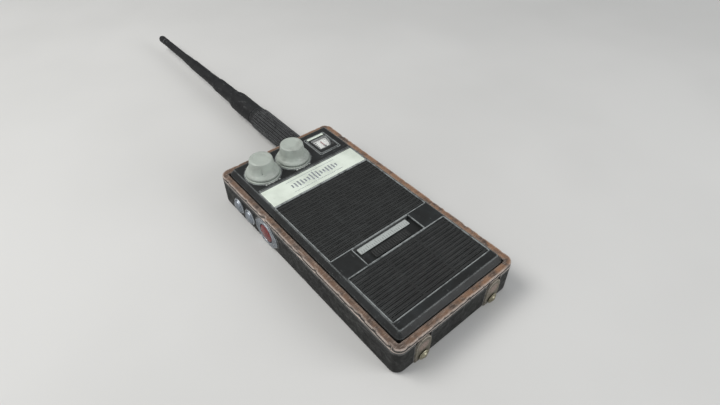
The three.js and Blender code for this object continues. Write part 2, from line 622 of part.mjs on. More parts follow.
// Local +Z points out of the left wall, local +X up the wall, local +Y along the case.
function onLeftWall(y, z) {
  const group = new THREE.Group();
  group.position.set(leftWall, y, z);
  group.rotation.y = -Math.PI / 2;
  return group;
}

function octagon(height, length, corner) {
  const [h, l] = [height / 2, length / 2];
  const points = [[-h, -l + corner], [-h + corner, -l], [h - corner, -l], [h, -l + corner],
    [h, l - corner], [h - corner, l], [-h + corner, l], [-h, l - corner]];
  return new THREE.Shape(points.map(([x, y]) => new THREE.Vector2(x, y)));
}

// The plate sits in the leather, the ring sits in the plate, and the button passes both.
function pttPlate() {
  const { height, length, chamfer, radius } = PTT;
  const plate = slab(octagon(height, length, chamfer), GAP - PTT_POCKET, PTT_PLATE_FACE,
    { inset: 0.4, at: 'top' });
  const buttonHole = bar([0, 0], radius + 2 * GAP, -PAST, PTT_PLATE_FACE + PAST);
  const ringSeat = bar([0, 0], PTT_RING_RADIUS + GAP, 0, PTT_PLATE_FACE + PAST, 28);
  return cut(plate, buttonHole, ringSeat);
}

function pttRing() {
  const outer = PTT_RING_RADIUS;
  const ring = solid(turned([[0, GAP], [outer, GAP], [outer, 0.6], [outer - 0.4, 1],
    [outer - 1, 1], [outer - 1.3, 0.8], [0, 0.8]], 28));
  return ring.subtract(bar([0, 0], PTT.radius + GAP, -PAST, 1 + PAST, 28));
}

function pttButton() {
  const { radius, travel } = PTT;
  return solid(turned([[0, PTT_STEM.bottom], [PTT_STEM.radius, PTT_STEM.bottom],
    [PTT_STEM.radius, PTT_FLANGE], [radius, PTT_FLANGE], [radius, travel - 0.8],
    [radius - 0.5, travel - 0.5], [radius - 1.9, travel - 0.2], [radius - 3.6, travel - 0.05],
    [0, travel]], 24));
}

function pttSet() {
  const group = onLeftWall(PTT.y, PTT.z);
  const { height, length, depth } = PTT_SWITCH;
  const inside = PTT_STEM.bottom - PTT.travel - GAP;
  const body = box([0, 0], [height, length], inside - depth, inside);
  group.add(piece('ptt_plate', pttPlate(), STEEL));
  group.add(piece('ptt_ring', pttRing(), STEEL));
  group.add(piece('ptt_button', pttButton(), RED_PLASTIC));
  group.add(piece('ptt_switch', body, BLACK_PLASTIC));
  return group;
}

function sideCollar() {
  const { radius, thickness, chamfer } = SIDE_COLLAR;
  const collar = solid(turned([[0, GAP], [radius, GAP], [radius, thickness - 0.3],
    [radius - chamfer, thickness], [0, thickness]], 20));
  return collar.subtract(bar([0, 0], SIDE_BUTTON.radius + GAP, -PAST, thickness + PAST));
}

function sideButton() {
  const { radius, travel } = SIDE_BUTTON;
  const stem = SIDE_STEM;
  return solid(turned([[0, stem.bottom], [stem.radius, stem.bottom], [stem.radius, SIDE_FLANGE],
    [radius, SIDE_FLANGE], [radius, travel], [radius - 0.6, travel + 0.5],
    [radius - 1.8, travel + 0.9], [0, travel + 1.1]], 20));
}

function sideButtonSet(name) {
  const group = onLeftWall(SIDE_BUTTON[name], SIDE_BUTTON.z);
  const { height, length, depth } = SIDE_SWITCH;
  const inside = SIDE_STEM.bottom - SIDE_BUTTON.travel - GAP;
  const body = box([0, 0], [height, length], inside - depth, inside);
  group.add(piece(`side_collar_${name}`, sideCollar(), STEEL));
  group.add(piece(`side_button_${name}`, sideButton(), STEEL));
  group.add(piece(`side_switch_${name}`, body, BLACK_PLASTIC));
  return group;
}

// ---------------------------------------------------------------- antenna

// Local +Z runs out along the antenna from the case's end wall.
function grip() {
  const body = turned([[0, GAP], [GRIP_RADIUS - 1, GAP], [GRIP_RADIUS, 1.4],
    [GRIP_RADIUS, GRIP_END - 2.4], [GRIP_RADIUS - 0.7, GRIP_END], [0, GRIP_END]], 4 * GRIP_RIBS);
  const position = body.attributes.position;
  for (let i = 0; i < position.count; i += 1) {
    const [x, y, z] = [position.getX(i), position.getY(i), position.getZ(i)];
    const onTheSide = z > GAP && z < GRIP_END && Math.hypot(x, y) > 0;
    if (onTheSide && Math.cos(GRIP_RIBS * Math.atan2(y, x)) < -0.5) {
      position.setXY(i, x * GRIP_GROOVE, y * GRIP_GROOVE);
    }
  }
  const socket = bar([0, 0], THREAD.radius + GAP, 0, THREAD.end + 0.6, 16);
  const spigotHole = bar([0, 0], WHIP_SPIGOT.radius + GAP, GRIP_END - WHIP_SPIGOT.length - 0.5,
    GRIP_END + PAST, 16);
  return cut(solid(body), socket, spigotHole);
}

function whip() {
  const foot = GRIP_END + GAP;
  const [[footRadius]] = WHIP_STEPS;
  const body = solid(turned([[0, foot], [footRadius, foot], ...WHIP_STEPS,
    [WHIP_END_RADIUS, WHIP_END], [0, WHIP_END]], 16));
  const spigot = bar([0, 0], WHIP_SPIGOT.radius, GRIP_END - WHIP_SPIGOT.length, foot + PAST, 16);
  const tipHole = bar([0, 0], TIP_SPIGOT.radius + GAP, WHIP_END - TIP_SPIGOT.length - 0.6,
    WHIP_END + PAST, 12);
  return cut(join(body, spigot), tipHole);
}

function tip() {
  const foot = WHIP_END + GAP;
  const radius = WHIP_END_RADIUS;
  const body = solid(turned([[0, foot], [radius, foot], [radius, TIP_END - 3],
    [0.88 * radius, TIP_END - 1.4], [0.58 * radius, TIP_END - 0.4], [0, TIP_END]], 16));
  const spigot = bar([0, 0], TIP_SPIGOT.radius, WHIP_END - TIP_SPIGOT.length, foot + PAST, 12);
  return join(body, spigot);
}

function connector() {
  const { radius, nut, nutThickness, back, backRadius } = CONNECTOR;
  const nutFace = -CASE_WALL - HOUSING_WALL - 3 * GAP;
  return solid(turned([[0, back], [backRadius, back], [backRadius, nutFace - nutThickness],
    [nut, nutFace - nutThickness], [nut, nutFace], [radius, nutFace], [radius, 0],
    [THREAD.radius, 0], [THREAD.radius, THREAD.end - THREAD.chamfer],
    [THREAD.radius - THREAD.chamfer, THREAD.end], [0, THREAD.end]], 16));
}

function antennaSet() {
  const group = new THREE.Group();
  group.position.set(ANTENNA_AXIS.x, -endWall, ANTENNA_AXIS.z);
  group.rotation.x = -Math.PI / 2;
  group.add(piece('antenna_connector', connector(), BRASS));
  group.add(piece('antenna_grip', grip(), RUBBER));
  group.add(piece('antenna_whip', whip(), RUBBER));
  group.add(piece('antenna_tip', tip(), RUBBER));
  return group;
}

// ---------------------------------------------------------------- inside

function speakerBasket() {
  const { radius, wall, bottom, foot, step, sheet } = SPEAKER;
  const rim = PANEL_UNDERSIDE - GAP;
  const inner = radius - wall;
  const basket = solid(turned([[0, bottom], [foot, bottom], [inner, step], [radius, step],
    [radius, rim], [inner, rim], [inner, step + sheet], [foot - 0.5, bottom + sheet],
    [0, bottom + sheet]], 24));
  return basket.subtract(bar([0, 0], foot / 2 - 1, bottom - PAST, bottom + sheet + PAST, 16));
}

function speakerSet() {
  const group = new THREE.Group();
  group.position.set(0, SPEAKER.y, 0);
  const cone = solid(turned([[0, CONE_MIDDLE.bottom], ...CONE_PROFILE, [0, CONE_MIDDLE.top]], 24));
  const magnet = bar([0, 0], MAGNET.radius, MAGNET.bottom, MAGNET.top, 24);
  group.add(piece('speaker_basket', speakerBasket(), STEEL));
  group.add(piece('speaker_magnet', magnet, STEEL));
  group.add(piece('speaker_cone', cone, PAPER));
  return group;
}

function microphone() {
  const { x, y, radius, bottom, top } = MICROPHONE;
  return bar([x, y], radius, bottom, top, 16);
}

function batteryHolder() {
  const { width, wall, top } = BATTERY_HOLDER;
  const length = BATTERY_LENGTH + 0.8;
  const outline = roundedRectangle(width + 2 * wall, length + 2 * wall, wall + 0.5, [0, CELL.y]);
  outline.holes.push(roundedRectangle(width, length, wall / 2, [0, CELL.y]));
  return slab(outline, HOUSING_INSIDE + GAP, top);
}

function batteryCell() {
  const { radius, length } = CELL;
  const shoulder = length / 2 - CELL_NUB.length;
  return solid(turned([[0, -length / 2], [radius, -length / 2], [radius, shoulder],
    [CELL_NUB.radius, shoulder], [CELL_NUB.radius, length / 2], [0, length / 2]], 16));
}

// Each cell lies across the case, the other way round from the one before it.
function batterySet() {
  const group = new THREE.Group();
  const { pitch, y, z, count } = CELL;
  group.add(piece('battery_holder', batteryHolder(), BLACK_PLASTIC));
  for (let i = 0; i < count; i += 1) {
    const cell = piece(`battery_cell_${i + 1}`, batteryCell(), STEEL,
      [0, y + (i - (count - 1) / 2) * pitch, z]);
    cell.rotation.y = i % 2 ? -Math.PI / 2 : Math.PI / 2;
    group.add(cell);
  }
  return group;
}

function mainBoard() {
  const { y, width, length, bottom, top } = BOARD;
  const board = slab(roundedRectangle(width, length, 1, [0, y]), bottom, top);
  const notches = corners
    .filter((corner) => corner[1] > 0)
    .map((corner) => bar(corner, BOSS.radius + 2 * GAP, bottom - PAST, top + PAST, 12));
  return cut(board, ...notches);
}

// ---------------------------------------------------------------- the whole radio

const radio = new THREE.Group();

radio.add(piece('leather_case', leatherCase(), BLACK_LEATHER));
radio.add(piece('case_rim', caseRim(), BROWN_LEATHER));
radio.add(straps());

radio.add(piece('rear_housing', rearHousing(), BLACK_PLASTIC));
radio.add(piece('battery_door', batteryDoor(), BLACK_PLASTIC));
radio.add(piece('front_panel', frontPanel(), BLACK_PLASTIC));
corners.forEach(([x, y], i) => {
  radio.add(piece(`housing_screw_${i + 1}`, screw(), STEEL, [x, y, 0]));
});
for (const [name, { y, ribs }] of Object.entries(GRILLES)) {
  radio.add(piece(name, grille(ribs), BLACK_PLASTIC, [0, y, 0]));
}
radio.add(piece('nameplate', nameplate(), SILVER));

for (const [name, axis] of Object.entries(KNOB_AXES)) {
  radio.add(knobSet(name, axis));
}
radio.add(meterSet());
radio.add(piece('channel_scale', channelScale(), WHITE_PRINT));
radio.add(piece('channel_slider', channelSlider(), BLACK_PLASTIC, [SLIDER.x, SLIDER.y, 0]));
radio.add(piece('channel_switch', channelSwitch(), STEEL));

radio.add(pttSet());
radio.add(sideButtonSet('upper'));
radio.add(sideButtonSet('lower'));
radio.add(antennaSet());

radio.add(speakerSet());
radio.add(piece('microphone', microphone(), STEEL));
radio.add(piece('main_board', mainBoard(), CIRCUIT_GREEN));
radio.add(batterySet());

export default radio;
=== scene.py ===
"""The looks of a hand-held two-way radio in an open-fronted leather case.

Shapes are worked out in millimetres in the radio's own frame and stored in metres.
+X is the radio's right-hand side, +Y points along the antenna, +Z comes out of the face.
"""

import json
from math import copysign, cos, pi, radians, sin, sqrt, tau

import bmesh
import bpy
from mathutils import Matrix, Vector, noise


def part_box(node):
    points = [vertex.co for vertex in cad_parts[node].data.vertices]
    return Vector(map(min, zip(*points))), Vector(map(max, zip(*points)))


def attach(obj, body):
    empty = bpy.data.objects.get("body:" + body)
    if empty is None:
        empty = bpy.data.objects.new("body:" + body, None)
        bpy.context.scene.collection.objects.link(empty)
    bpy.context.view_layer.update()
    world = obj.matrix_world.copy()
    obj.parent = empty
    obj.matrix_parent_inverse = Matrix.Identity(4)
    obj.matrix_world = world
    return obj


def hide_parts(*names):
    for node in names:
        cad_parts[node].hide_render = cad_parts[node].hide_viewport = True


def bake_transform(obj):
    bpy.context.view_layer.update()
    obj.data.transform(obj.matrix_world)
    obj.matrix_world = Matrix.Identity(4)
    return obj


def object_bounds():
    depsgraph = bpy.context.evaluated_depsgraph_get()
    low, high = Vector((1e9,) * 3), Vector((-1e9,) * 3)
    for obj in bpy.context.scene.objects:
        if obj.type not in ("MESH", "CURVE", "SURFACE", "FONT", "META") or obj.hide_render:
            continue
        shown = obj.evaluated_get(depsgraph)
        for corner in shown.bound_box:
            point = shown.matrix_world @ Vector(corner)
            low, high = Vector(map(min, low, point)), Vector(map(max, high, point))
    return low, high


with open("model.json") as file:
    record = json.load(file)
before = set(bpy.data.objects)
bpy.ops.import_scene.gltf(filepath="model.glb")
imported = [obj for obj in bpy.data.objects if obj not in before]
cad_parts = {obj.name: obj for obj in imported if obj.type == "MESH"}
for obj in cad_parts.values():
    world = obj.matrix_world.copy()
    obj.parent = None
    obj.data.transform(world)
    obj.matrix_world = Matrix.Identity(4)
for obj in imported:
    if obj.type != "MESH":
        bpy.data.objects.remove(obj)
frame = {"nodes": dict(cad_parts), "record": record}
cad_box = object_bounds()

MM = 0.001
QUARTER = pi / 2

# ---- camera, lights and floor

CAMERA_PLACE = (-0.1221, -0.1501, 0.21265)
CAMERA_TURN = (radians(46.41), 0, radians(-40.06))
CAMERA_LENS = 25
CAMERA_SENSOR = 36

STUDIO_MIDDLE = (0, 0.03, 0)
SOFTBOXES = (
    ("key", (-0.45, 0.35, 0.80), (0.5, 0.5), 6.2, (1.0, 0.98, 0.95)),
    ("front", (0.45, -0.8, 0.45), (0.6, 0.4), 4.4, (1.0, 1.0, 1.0)),
    ("left", (-0.8, -0.1, 0.35), (0.6, 0.4), 0.5, (0.92, 0.96, 1.0)),
)
SKY_COLOR = (0.86, 0.88, 0.9, 1)
SKY_STRENGTH = 0.42


def place_new(name, data):
    """A new object in the scene for a mesh, light or camera."""
    obj = bpy.data.objects.new(name, data)
    bpy.context.scene.collection.objects.link(obj)
    return obj


def add_camera():
    data = bpy.data.cameras.new("camera")
    data.lens = CAMERA_LENS
    data.sensor_width = CAMERA_SENSOR
    data.clip_start = 0.01
    camera = place_new("camera", data)
    camera.location = CAMERA_PLACE
    camera.rotation_euler = CAMERA_TURN
    bpy.context.scene.camera = camera


def add_softbox(name, place, size, watts, color):
    data = bpy.data.lights.new(name, "AREA")
    data.shape = "RECTANGLE"
    data.size, data.size_y = size
    data.energy = watts
    data.color = color
    light = place_new(name, data)
    light.location = place
    toward = Vector(STUDIO_MIDDLE) - Vector(place)
    light.rotation_euler = toward.to_track_quat("-Z", "Y").to_euler()


def add_studio():
    for softbox in SOFTBOXES:
        add_softbox(*softbox)
    world = bpy.data.worlds.new("studio")
    world.use_nodes = True
    sky = world.node_tree.nodes["Background"]
    sky.inputs["Color"].default_value = SKY_COLOR
    sky.inputs["Strength"].default_value = SKY_STRENGTH
    bpy.context.scene.world = world
    bpy.context.scene.view_settings.view_transform = "Standard"


# ---- materials

class Look:
    """One material's node tree. Sizes are in millimetres of the object's own coordinates."""

    def __init__(self, name):
        self.material = bpy.data.materials.new(name)
        self.material.use_nodes = True
        self.nodes = self.material.node_tree.nodes
        self.links = self.material.node_tree.links
        self.shader = self.nodes["Principled BSDF"]
        texture = self.nodes.new("ShaderNodeTexCoord")
        self.place = texture.outputs["Object"]
        self.facing = texture.outputs["Normal"]

    def fill(self, node, inputs):
        """Links or sets a node's inputs."""
        for key, value in inputs.items():
            if isinstance(value, bpy.types.NodeSocket):
                self.links.new(value, node.inputs[key])
            else:
                node.inputs[key].default_value = value

    def node(self, kind, inputs, output=0, **settings):
        """Adds a node and gives one of its outputs."""
        node = self.nodes.new(f"ShaderNode{kind}")
        for name, value in settings.items():
            setattr(node, name, value)
        self.fill(node, inputs)
        return node.outputs[output]

    def math(self, operation, a, b=0.0):
        return self.node("Math", {0: a, 1: b}, operation=operation, use_clamp=True)

    def times(self, a, b):
        return self.math("MULTIPLY", a, b)

    def stretched(self, stretch):
        if stretch is None:
            return self.place
        return self.node("Mapping", {"Vector": self.place, "Scale": [1 / s for s in stretch]})

    def noise(self, size, detail=3, stretch=None, distortion=0.0):
        inputs = {"Vector": self.stretched(stretch), "Scale": 1 / (size * MM), "Detail": detail,
                  "Distortion": distortion}
        return self.node("TexNoise", inputs, "Fac")

    def cells(self, size, stretch=None):
        inputs = {"Vector": self.stretched(stretch), "Scale": 1 / (size * MM)}
        return self.node("TexVoronoi", inputs, "Distance", feature="DISTANCE_TO_EDGE")

    def blots(self, size, low, high, **more):
        """Soft-edged patches of noise of the given size."""
        return self.ramp(self.noise(size, **more), low, high)

    def ramp(self, value, low, high, start=0.0, end=1.0):
        """A smooth step from start to end as value goes from low to high."""
        inputs = {"Value": value, "From Min": low, "From Max": high, "To Min": start, "To Max": end}
        return self.node("MapRange", inputs, "Result", interpolation_type="SMOOTHSTEP")

    def edges(self, reach, low=0.18, high=0.5):
        """1 along convex edges, fading to 0 about reach away from them."""
        shade = self.node("AmbientOcclusion", {"Distance": reach * MM}, "AO", inside=True,
                          only_local=True, samples=8)
        return self.ramp(self.math("SUBTRACT", 1.0, shade), low, high)

    def mix(self, share, *colors):
        """The first color where share is 0, the second where it is 1."""
        a, b = [(*color, 1.0) if isinstance(color, tuple) else color for color in colors]
        return self.node("Mix", {0: share, 6: a, 7: b}, 2, data_type="RGBA")

    def upward(self):
        """1 on faces that look up out of the radio's face, 0 on its walls and back."""
        return self.ramp(self.node("SeparateXYZ", {0: self.facing}, "Z"), 0.35, 0.75)

    def near(self, place, reach):
        """1 near a place and its mirror images in the middle planes, 0 beyond reach."""
        mirrored = self.node("VectorMath", {0: self.place}, "Vector", operation="ABSOLUTE")
        away = self.node("VectorMath", {0: mirrored, 1: [c * MM for c in place]}, "Value",
                         operation="DISTANCE")
        return self.ramp(away, 0.5 * reach * MM, reach * MM, 1.0, 0.0)

    def across(self, low, high, start=0.0):
        """From start to 1 between two places along X, in millimetres."""
        along = self.node("SeparateXYZ", {0: self.place}, "X")
        return self.ramp(along, low * MM, high * MM, start)

    def height(self, socket, depth, below=None):
        """A bump of the given depth in millimetres, on top of another bump."""
        inputs = {"Distance": depth * MM, "Height": socket}
        if below is not None:
            inputs["Normal"] = below
        return self.node("Bump", inputs, "Normal")

    def finish(self, color, roughness, normal=None, **fixed):
        inputs = {"Base Color": color, "Roughness": roughness}
        if normal is not None:
            inputs["Normal"] = normal
        for name, value in fixed.items():
            inputs[name.replace("_", " ")] = value
        self.fill(self.shader, inputs)
        return self.material


def leather_look(name, dark, light, worn, grain=0.9, edge_reach=0.9, rubbed=None):
    """Pebbled leather with scuffs and bare edges. rubbed is a (place, reach) worn to the hide."""
    look = Look(name)
    pebbles = look.ramp(look.cells(grain), 0.02, 0.32)
    creases = look.noise(5.0, detail=6, distortion=1.2)
    blotches = look.noise(14.0, detail=4)
    scuffs = look.blots(3.4, 0.58, 0.74, detail=9, stretch=(1, 3, 1), distortion=0.8)
    color = look.mix(look.ramp(blotches, 0.35, 0.7), dark, light)
    color = look.mix(look.times(scuffs, 0.25), color, worn)
    if rubbed:
        spots = look.blots(0.9, 0.3, 0.55, detail=5)
        patch = look.times(look.near(*rubbed), spots)
        color = look.mix(patch, color, (0.25, 0.19, 0.165))
    broken = look.blots(1.6, 0.26, 0.5, detail=5)
    ragged = look.times(look.edges(edge_reach, 0.07, 0.3), broken)
    color = look.mix(ragged, color, worn)
    roughness = look.ramp(creases, 0.3, 0.75, 0.45, 0.7)
    normal = look.height(pebbles, 0.03, look.height(creases, 0.12))
    return look.finish(color, roughness, normal, Specular_IOR_Level=0.25)


def binding_look():
    """The rim: a raw brown cut edge on top, the case's black finish down its side. Its tan patches
    are painted stronger towards +X, a painted light that brightens the rim's right side.
    """
    look = Look("brown_leather")
    fibres = look.noise(0.5, detail=6, stretch=(1, 1, 1))
    patches = look.noise(9.0, detail=4, distortion=0.6)
    scratches = look.blots(0.55, 0.52, 0.68, detail=4, stretch=(5, 0.8, 1))
    dark, light = (0.070, 0.050, 0.040), (0.125, 0.088, 0.070)
    color = look.mix(look.ramp(patches, 0.35, 0.65), dark, light)
    spots = look.blots(4.5, 0.36, 0.6, detail=4)
    # painted light: the real tan patches are strengthened from x = -30 to x = 36 mm, so the rim's
    # right side is painted brighter
    tan_spots_and_light = look.times(look.across(-30, 36, 0.4), spots)
    color = look.mix(tan_spots_and_light, color, (0.25, 0.140, 0.082))
    color = look.mix(look.times(scratches, 0.55), color, (0.37, 0.30, 0.25))
    pores = look.times(look.ramp(fibres, 0.45, 0.7), 0.35)
    color = look.mix(pores, color, (0.05, 0.036, 0.030))
    color = look.mix(look.upward(), (0.020, 0.020, 0.019), color)
    broken = look.blots(2.4, 0.26, 0.42, detail=5)
    ragged = look.times(look.edges(0.9, 0.05, 0.22), broken)
    color = look.mix(ragged, color, (0.52, 0.44, 0.39))
    roughness = look.ramp(patches, 0.3, 0.7, 0.5, 0.75)
    normal = look.height(fibres, 0.06, look.height(scratches, 0.05))
    return look.finish(color, roughness, normal, Specular_IOR_Level=0.35)


def plastic_look(name, base, worn, grime, roughness=(0.38, 0.55), edge_reach=0.5, edge_share=1.0,
                 gloss=0.5, edge_range=(0.18, 0.5)):
    """Moulded plastic with smears of grime, fine scratches and paler, worn edges."""
    look = Look(name)
    texture = look.noise(0.16, detail=2)
    smears = look.noise(11.0, detail=6, distortion=0.8)
    scratches = look.blots(0.6, 0.66, 0.76, detail=5, stretch=(9, 1, 1))
    cross = look.blots(0.7, 0.68, 0.78, detail=5, stretch=(1, 8, 1))
    color = look.mix(look.ramp(smears, 0.4, 0.75), base, grime)
    color = look.mix(look.times(look.math("ADD", scratches, cross), 0.36), color, worn)
    broken = look.ramp(look.noise(3.2, detail=6), 0.3, 0.55, 0.35, 1.0)
    bare = look.times(look.edges(edge_reach, *edge_range), broken)
    color = look.mix(look.times(bare, edge_share), color, worn)
    rough = look.ramp(look.noise(4.0, detail=6), 0.3, 0.7, *roughness)
    normal = look.height(texture, 0.012, look.height(scratches, 0.01))
    return look.finish(color, rough, normal, Specular_IOR_Level=gloss)


def rubber_look():
    look = Look("black_rubber")
    blotches = look.noise(7.0, detail=5, stretch=(1, 2, 1))
    scuffs = look.blots(1.8, 0.57, 0.7, detail=8, stretch=(1, 2.5, 1), distortion=1.0)
    dark, light = (0.006, 0.006, 0.007), (0.016, 0.017, 0.018)
    color = look.mix(look.ramp(blotches, 0.35, 0.7), dark, light)
    color = look.mix(look.times(scuffs, 0.35), color, (0.10, 0.105, 0.105))
    broken = look.blots(2.5, 0.3, 0.46, detail=5)
    worn = look.times(look.edges(0.55, 0.05, 0.28), broken)
    color = look.mix(look.times(worn, 0.85), color, (0.17, 0.175, 0.18))
    roughness = look.ramp(blotches, 0.3, 0.7, 0.5, 0.72)
    bumps = look.height(look.noise(2.5, detail=4), 0.07)
    normal = look.height(look.noise(0.35, detail=3), 0.02, bumps)
    return look.finish(color, roughness, normal, Specular_IOR_Level=0.25)


def metal_look(name, base, dull, roughness=(0.28, 0.5), stretch=(1, 12, 1), edge_reach=0.4,
               edge=(0.75, 0.78, 0.8)):
    look = Look(name)
    brushing = look.noise(0.25, detail=3, stretch=stretch)
    tarnish = look.noise(3.5, detail=7, distortion=0.6)
    color = look.mix(look.ramp(tarnish, 0.42, 0.66), base, dull)
    color = look.mix(look.times(look.edges(edge_reach), 0.6), color, edge)
    rough = look.ramp(tarnish, 0.35, 0.7, *roughness)
    normal = look.height(brushing, 0.006, look.height(look.noise(0.8, detail=4), 0.01))
    return look.finish(color, rough, normal, Metallic=1.0)


def plate_look():
    """The nameplate: pale satin metal with a very soft cloudy tone."""
    look = Look("silver_plate")
    clouds = look.noise(16.0, detail=3)
    brushing = look.noise(0.22, detail=2, stretch=(14, 1, 1))
    color = look.mix(look.ramp(clouds, 0.35, 0.7), (0.78, 0.85, 0.76), (0.62, 0.68, 0.60))
    grime = look.blots(1.6, 0.6, 0.74, detail=8, distortion=0.8)
    color = look.mix(look.times(grime, 0.25), color, (0.40, 0.43, 0.40))
    rough = look.ramp(look.noise(5.0, detail=5), 0.3, 0.7, 0.3, 0.45)
    normal = look.height(brushing, 0.004)
    return look.finish(color, rough, normal, Metallic=0.1, Coat_Weight=0.3, Coat_Roughness=0.2)


def print_look(name, base, shade):
    look = Look(name)
    specks = look.noise(0.8, detail=6)
    color = look.mix(look.ramp(specks, 0.5, 0.72), base, shade)
    rough = look.ramp(look.noise(3.0, detail=4), 0.3, 0.7, 0.42, 0.6)
    return look.finish(color, rough, look.height(look.noise(0.2, detail=2), 0.005))


def paper_look():
    look = Look("paper")
    fibres = look.noise(0.5, detail=6, stretch=(1, 3, 1))
    color = look.mix(look.ramp(fibres, 0.4, 0.7), (0.05, 0.047, 0.043), (0.10, 0.095, 0.085))
    return look.finish(color, look.ramp(fibres, 0.3, 0.7, 0.8, 0.95), look.height(fibres, 0.05))


def window_look():
    look = Look("clear")
    smudge = look.noise(4.0, detail=5)
    rough = look.ramp(smudge, 0.35, 0.75, 0.03, 0.12)
    color = look.mix(look.ramp(smudge, 0.4, 0.8), (0.97, 0.98, 0.98), (0.90, 0.92, 0.92))
    return look.finish(color, rough, Alpha=0.1)


def board_look():
    look = Look("circuit_board")
    tracks = look.ramp(look.cells(2.4, stretch=(1, 1, 4)), 0.05, 0.09)
    color = look.mix(tracks, (0.06, 0.2, 0.08), (0.02, 0.09, 0.04))
    rough = look.ramp(look.noise(2.0), 0.3, 0.7, 0.35, 0.5)
    return look.finish(color, rough, look.height(tracks, 0.03))


LOOKS = {
    "brown_leather": binding_look(),
    "black_rubber": rubber_look(),
    "silver_plate": plate_look(),
    "paper": paper_look(),
    "clear": window_look(),
    "circuit_board": board_look(),
}


def add_looks(make, **kinds):
    """Adds the looks of one kind: each name with its colours and what sets it apart."""
    for name, (*colors, changes) in kinds.items():
        LOOKS[name] = make(name, *colors, **changes)


add_looks(
    leather_look,
    black_leather=((0.005, 0.005, 0.005), (0.013, 0.014, 0.013), (0.17, 0.17, 0.165),
                   {"edge_reach": 1.1}),
    olive_leather=((0.085, 0.078, 0.058), (0.14, 0.128, 0.098), (0.40, 0.36, 0.31),
                   {"grain": 0.7, "edge_reach": 0.7, "rubbed": ((24.2, 77.9, 12.4), 4.2)}),
)
add_looks(
    plastic_look,
    black_plastic=((0.011, 0.012, 0.012), (0.28, 0.30, 0.30), (0.020, 0.023, 0.024),
                   {"edge_reach": 0.8, "gloss": 0.35, "edge_range": (0.06, 0.22)}),
    ribbed_plastic=((0.020, 0.021, 0.021), (0.13, 0.135, 0.13), (0.030, 0.032, 0.032),
                    {"edge_reach": 0.3, "edge_share": 0.6, "gloss": 0.35}),
    grey_plastic=((0.40, 0.44, 0.40), (0.62, 0.66, 0.61), (0.32, 0.345, 0.315),
                  {"roughness": (0.34, 0.5), "edge_share": 0.5}),
    red_plastic=((0.16, 0.010, 0.012), (0.34, 0.10, 0.10), (0.10, 0.008, 0.010),
                 {"roughness": (0.2, 0.34), "edge_share": 0.25, "gloss": 0.3}),
)
add_looks(
    metal_look,
    side_metal=((0.33, 0.36, 0.40), (0.19, 0.21, 0.235),
                {"roughness": (0.38, 0.55), "edge_reach": 0.6}),
    steel=((0.50, 0.50, 0.50), (0.32, 0.31, 0.30), {}),
    chrome=((0.80, 0.81, 0.82), (0.6, 0.61, 0.62), {"roughness": (0.12, 0.25)}),
    brass=((0.36, 0.34, 0.25), (0.20, 0.18, 0.13),
           {"stretch": (1, 1, 1), "roughness": (0.38, 0.6), "edge": (0.60, 0.58, 0.46)}),
)
add_looks(
    print_look,
    white_print=((0.80, 0.82, 0.79), (0.55, 0.57, 0.55), {}),
    faint_print=((0.42, 0.44, 0.42), (0.16, 0.17, 0.16), {}),
    scale_print=((0.40, 0.43, 0.42), (0.33, 0.355, 0.345), {}),
    grey_ink=((0.15, 0.16, 0.155), (0.22, 0.23, 0.225), {}),
    ink=((0.012, 0.012, 0.013), (0.03, 0.03, 0.03), {}),
)


# ---- mesh tools

def span(node):
    """A CAD node's lowest and highest corners, in millimetres."""
    low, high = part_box(node)
    return low / MM, high / MM


def middle(node):
    low, high = span(node)
    return (low + high) / 2


def plan(node):
    """A CAD node's centre and size seen from above, as pairs."""
    low, high = span(node)
    return ((low.x + high.x) / 2, (low.y + high.y) / 2), (high.x - low.x, high.y - low.y)


def radius_of(node):
    """Half the width of a round CAD node."""
    return plan(node)[1][0] / 2


def within(value):
    """A value held between 0 and 1."""
    return max(0, min(1.0, value))


def build(name, points, faces):
    mesh = bpy.data.meshes.new(name)
    mesh.from_pydata([Vector(p) * MM for p in points], [], faces)
    return place_new(name, mesh)


def apply_modifiers(obj):
    graph = bpy.context.evaluated_depsgraph_get()
    mesh = bpy.data.meshes.new_from_object(obj.evaluated_get(graph))
    obj.modifiers.clear()
    obj.data = mesh
    mesh.name = obj.name
    return obj


def rounded_ring(width, length, corner, z, centre=(0, 0), cuts=(1, 1), steps=10):
    """Points anticlockwise round a rounded rectangle, its straights cut along x and y."""
    signs = ((1, -1), (1, 1), (-1, 1), (-1, -1))
    corner = max(corner, 0.01)
    arcs = []
    for turn, (sx, sy) in enumerate(signs):
        x = centre[0] + sx * (width / 2 - corner)
        y = centre[1] + sy * (length / 2 - corner)
        angles = [QUARTER * (turn - 1 + step / steps) for step in range(steps + 1)]
        arcs.append([Vector((x + corner * cos(a), y + corner * sin(a), z)) for a in angles])
    ring = []
    for turn, arc in enumerate(arcs):
        ring += arc
        pieces = cuts[1 - turn % 2]
        after = arcs[(turn + 1) % 4][0]
        ring += [arc[-1].lerp(after, cut / pieces) for cut in range(1, pieces)]
    return ring


def loft(name, rings, closed=False):
    """A skin over rings of equal length, capped at both ends unless the last meets the first."""
    count = len(rings[0])
    points = [point for ring in rings for point in ring]
    faces = []
    for i in range(len(rings) if closed else len(rings) - 1):
        here, after = i * count, ((i + 1) % len(rings)) * count
        for k in range(count):
            n = (k + 1) % count
            faces.append((here + k, here + n, after + n, after + k))
    if not closed:
        faces.append(tuple(reversed(range(count))))
        faces.append(tuple(range(len(points) - count, len(points))))
    return build(name, points, faces)


def slab(name, size, corner, profile, closed=False, **more):
    """A rounded rectangle whose side follows a profile of (inset, z) pairs."""
    width, length = size
    rings = [rounded_ring(width - 2 * inset, length - 2 * inset, corner - inset, z, **more)
             for inset, z in profile]
    return loft(name, rings, closed)


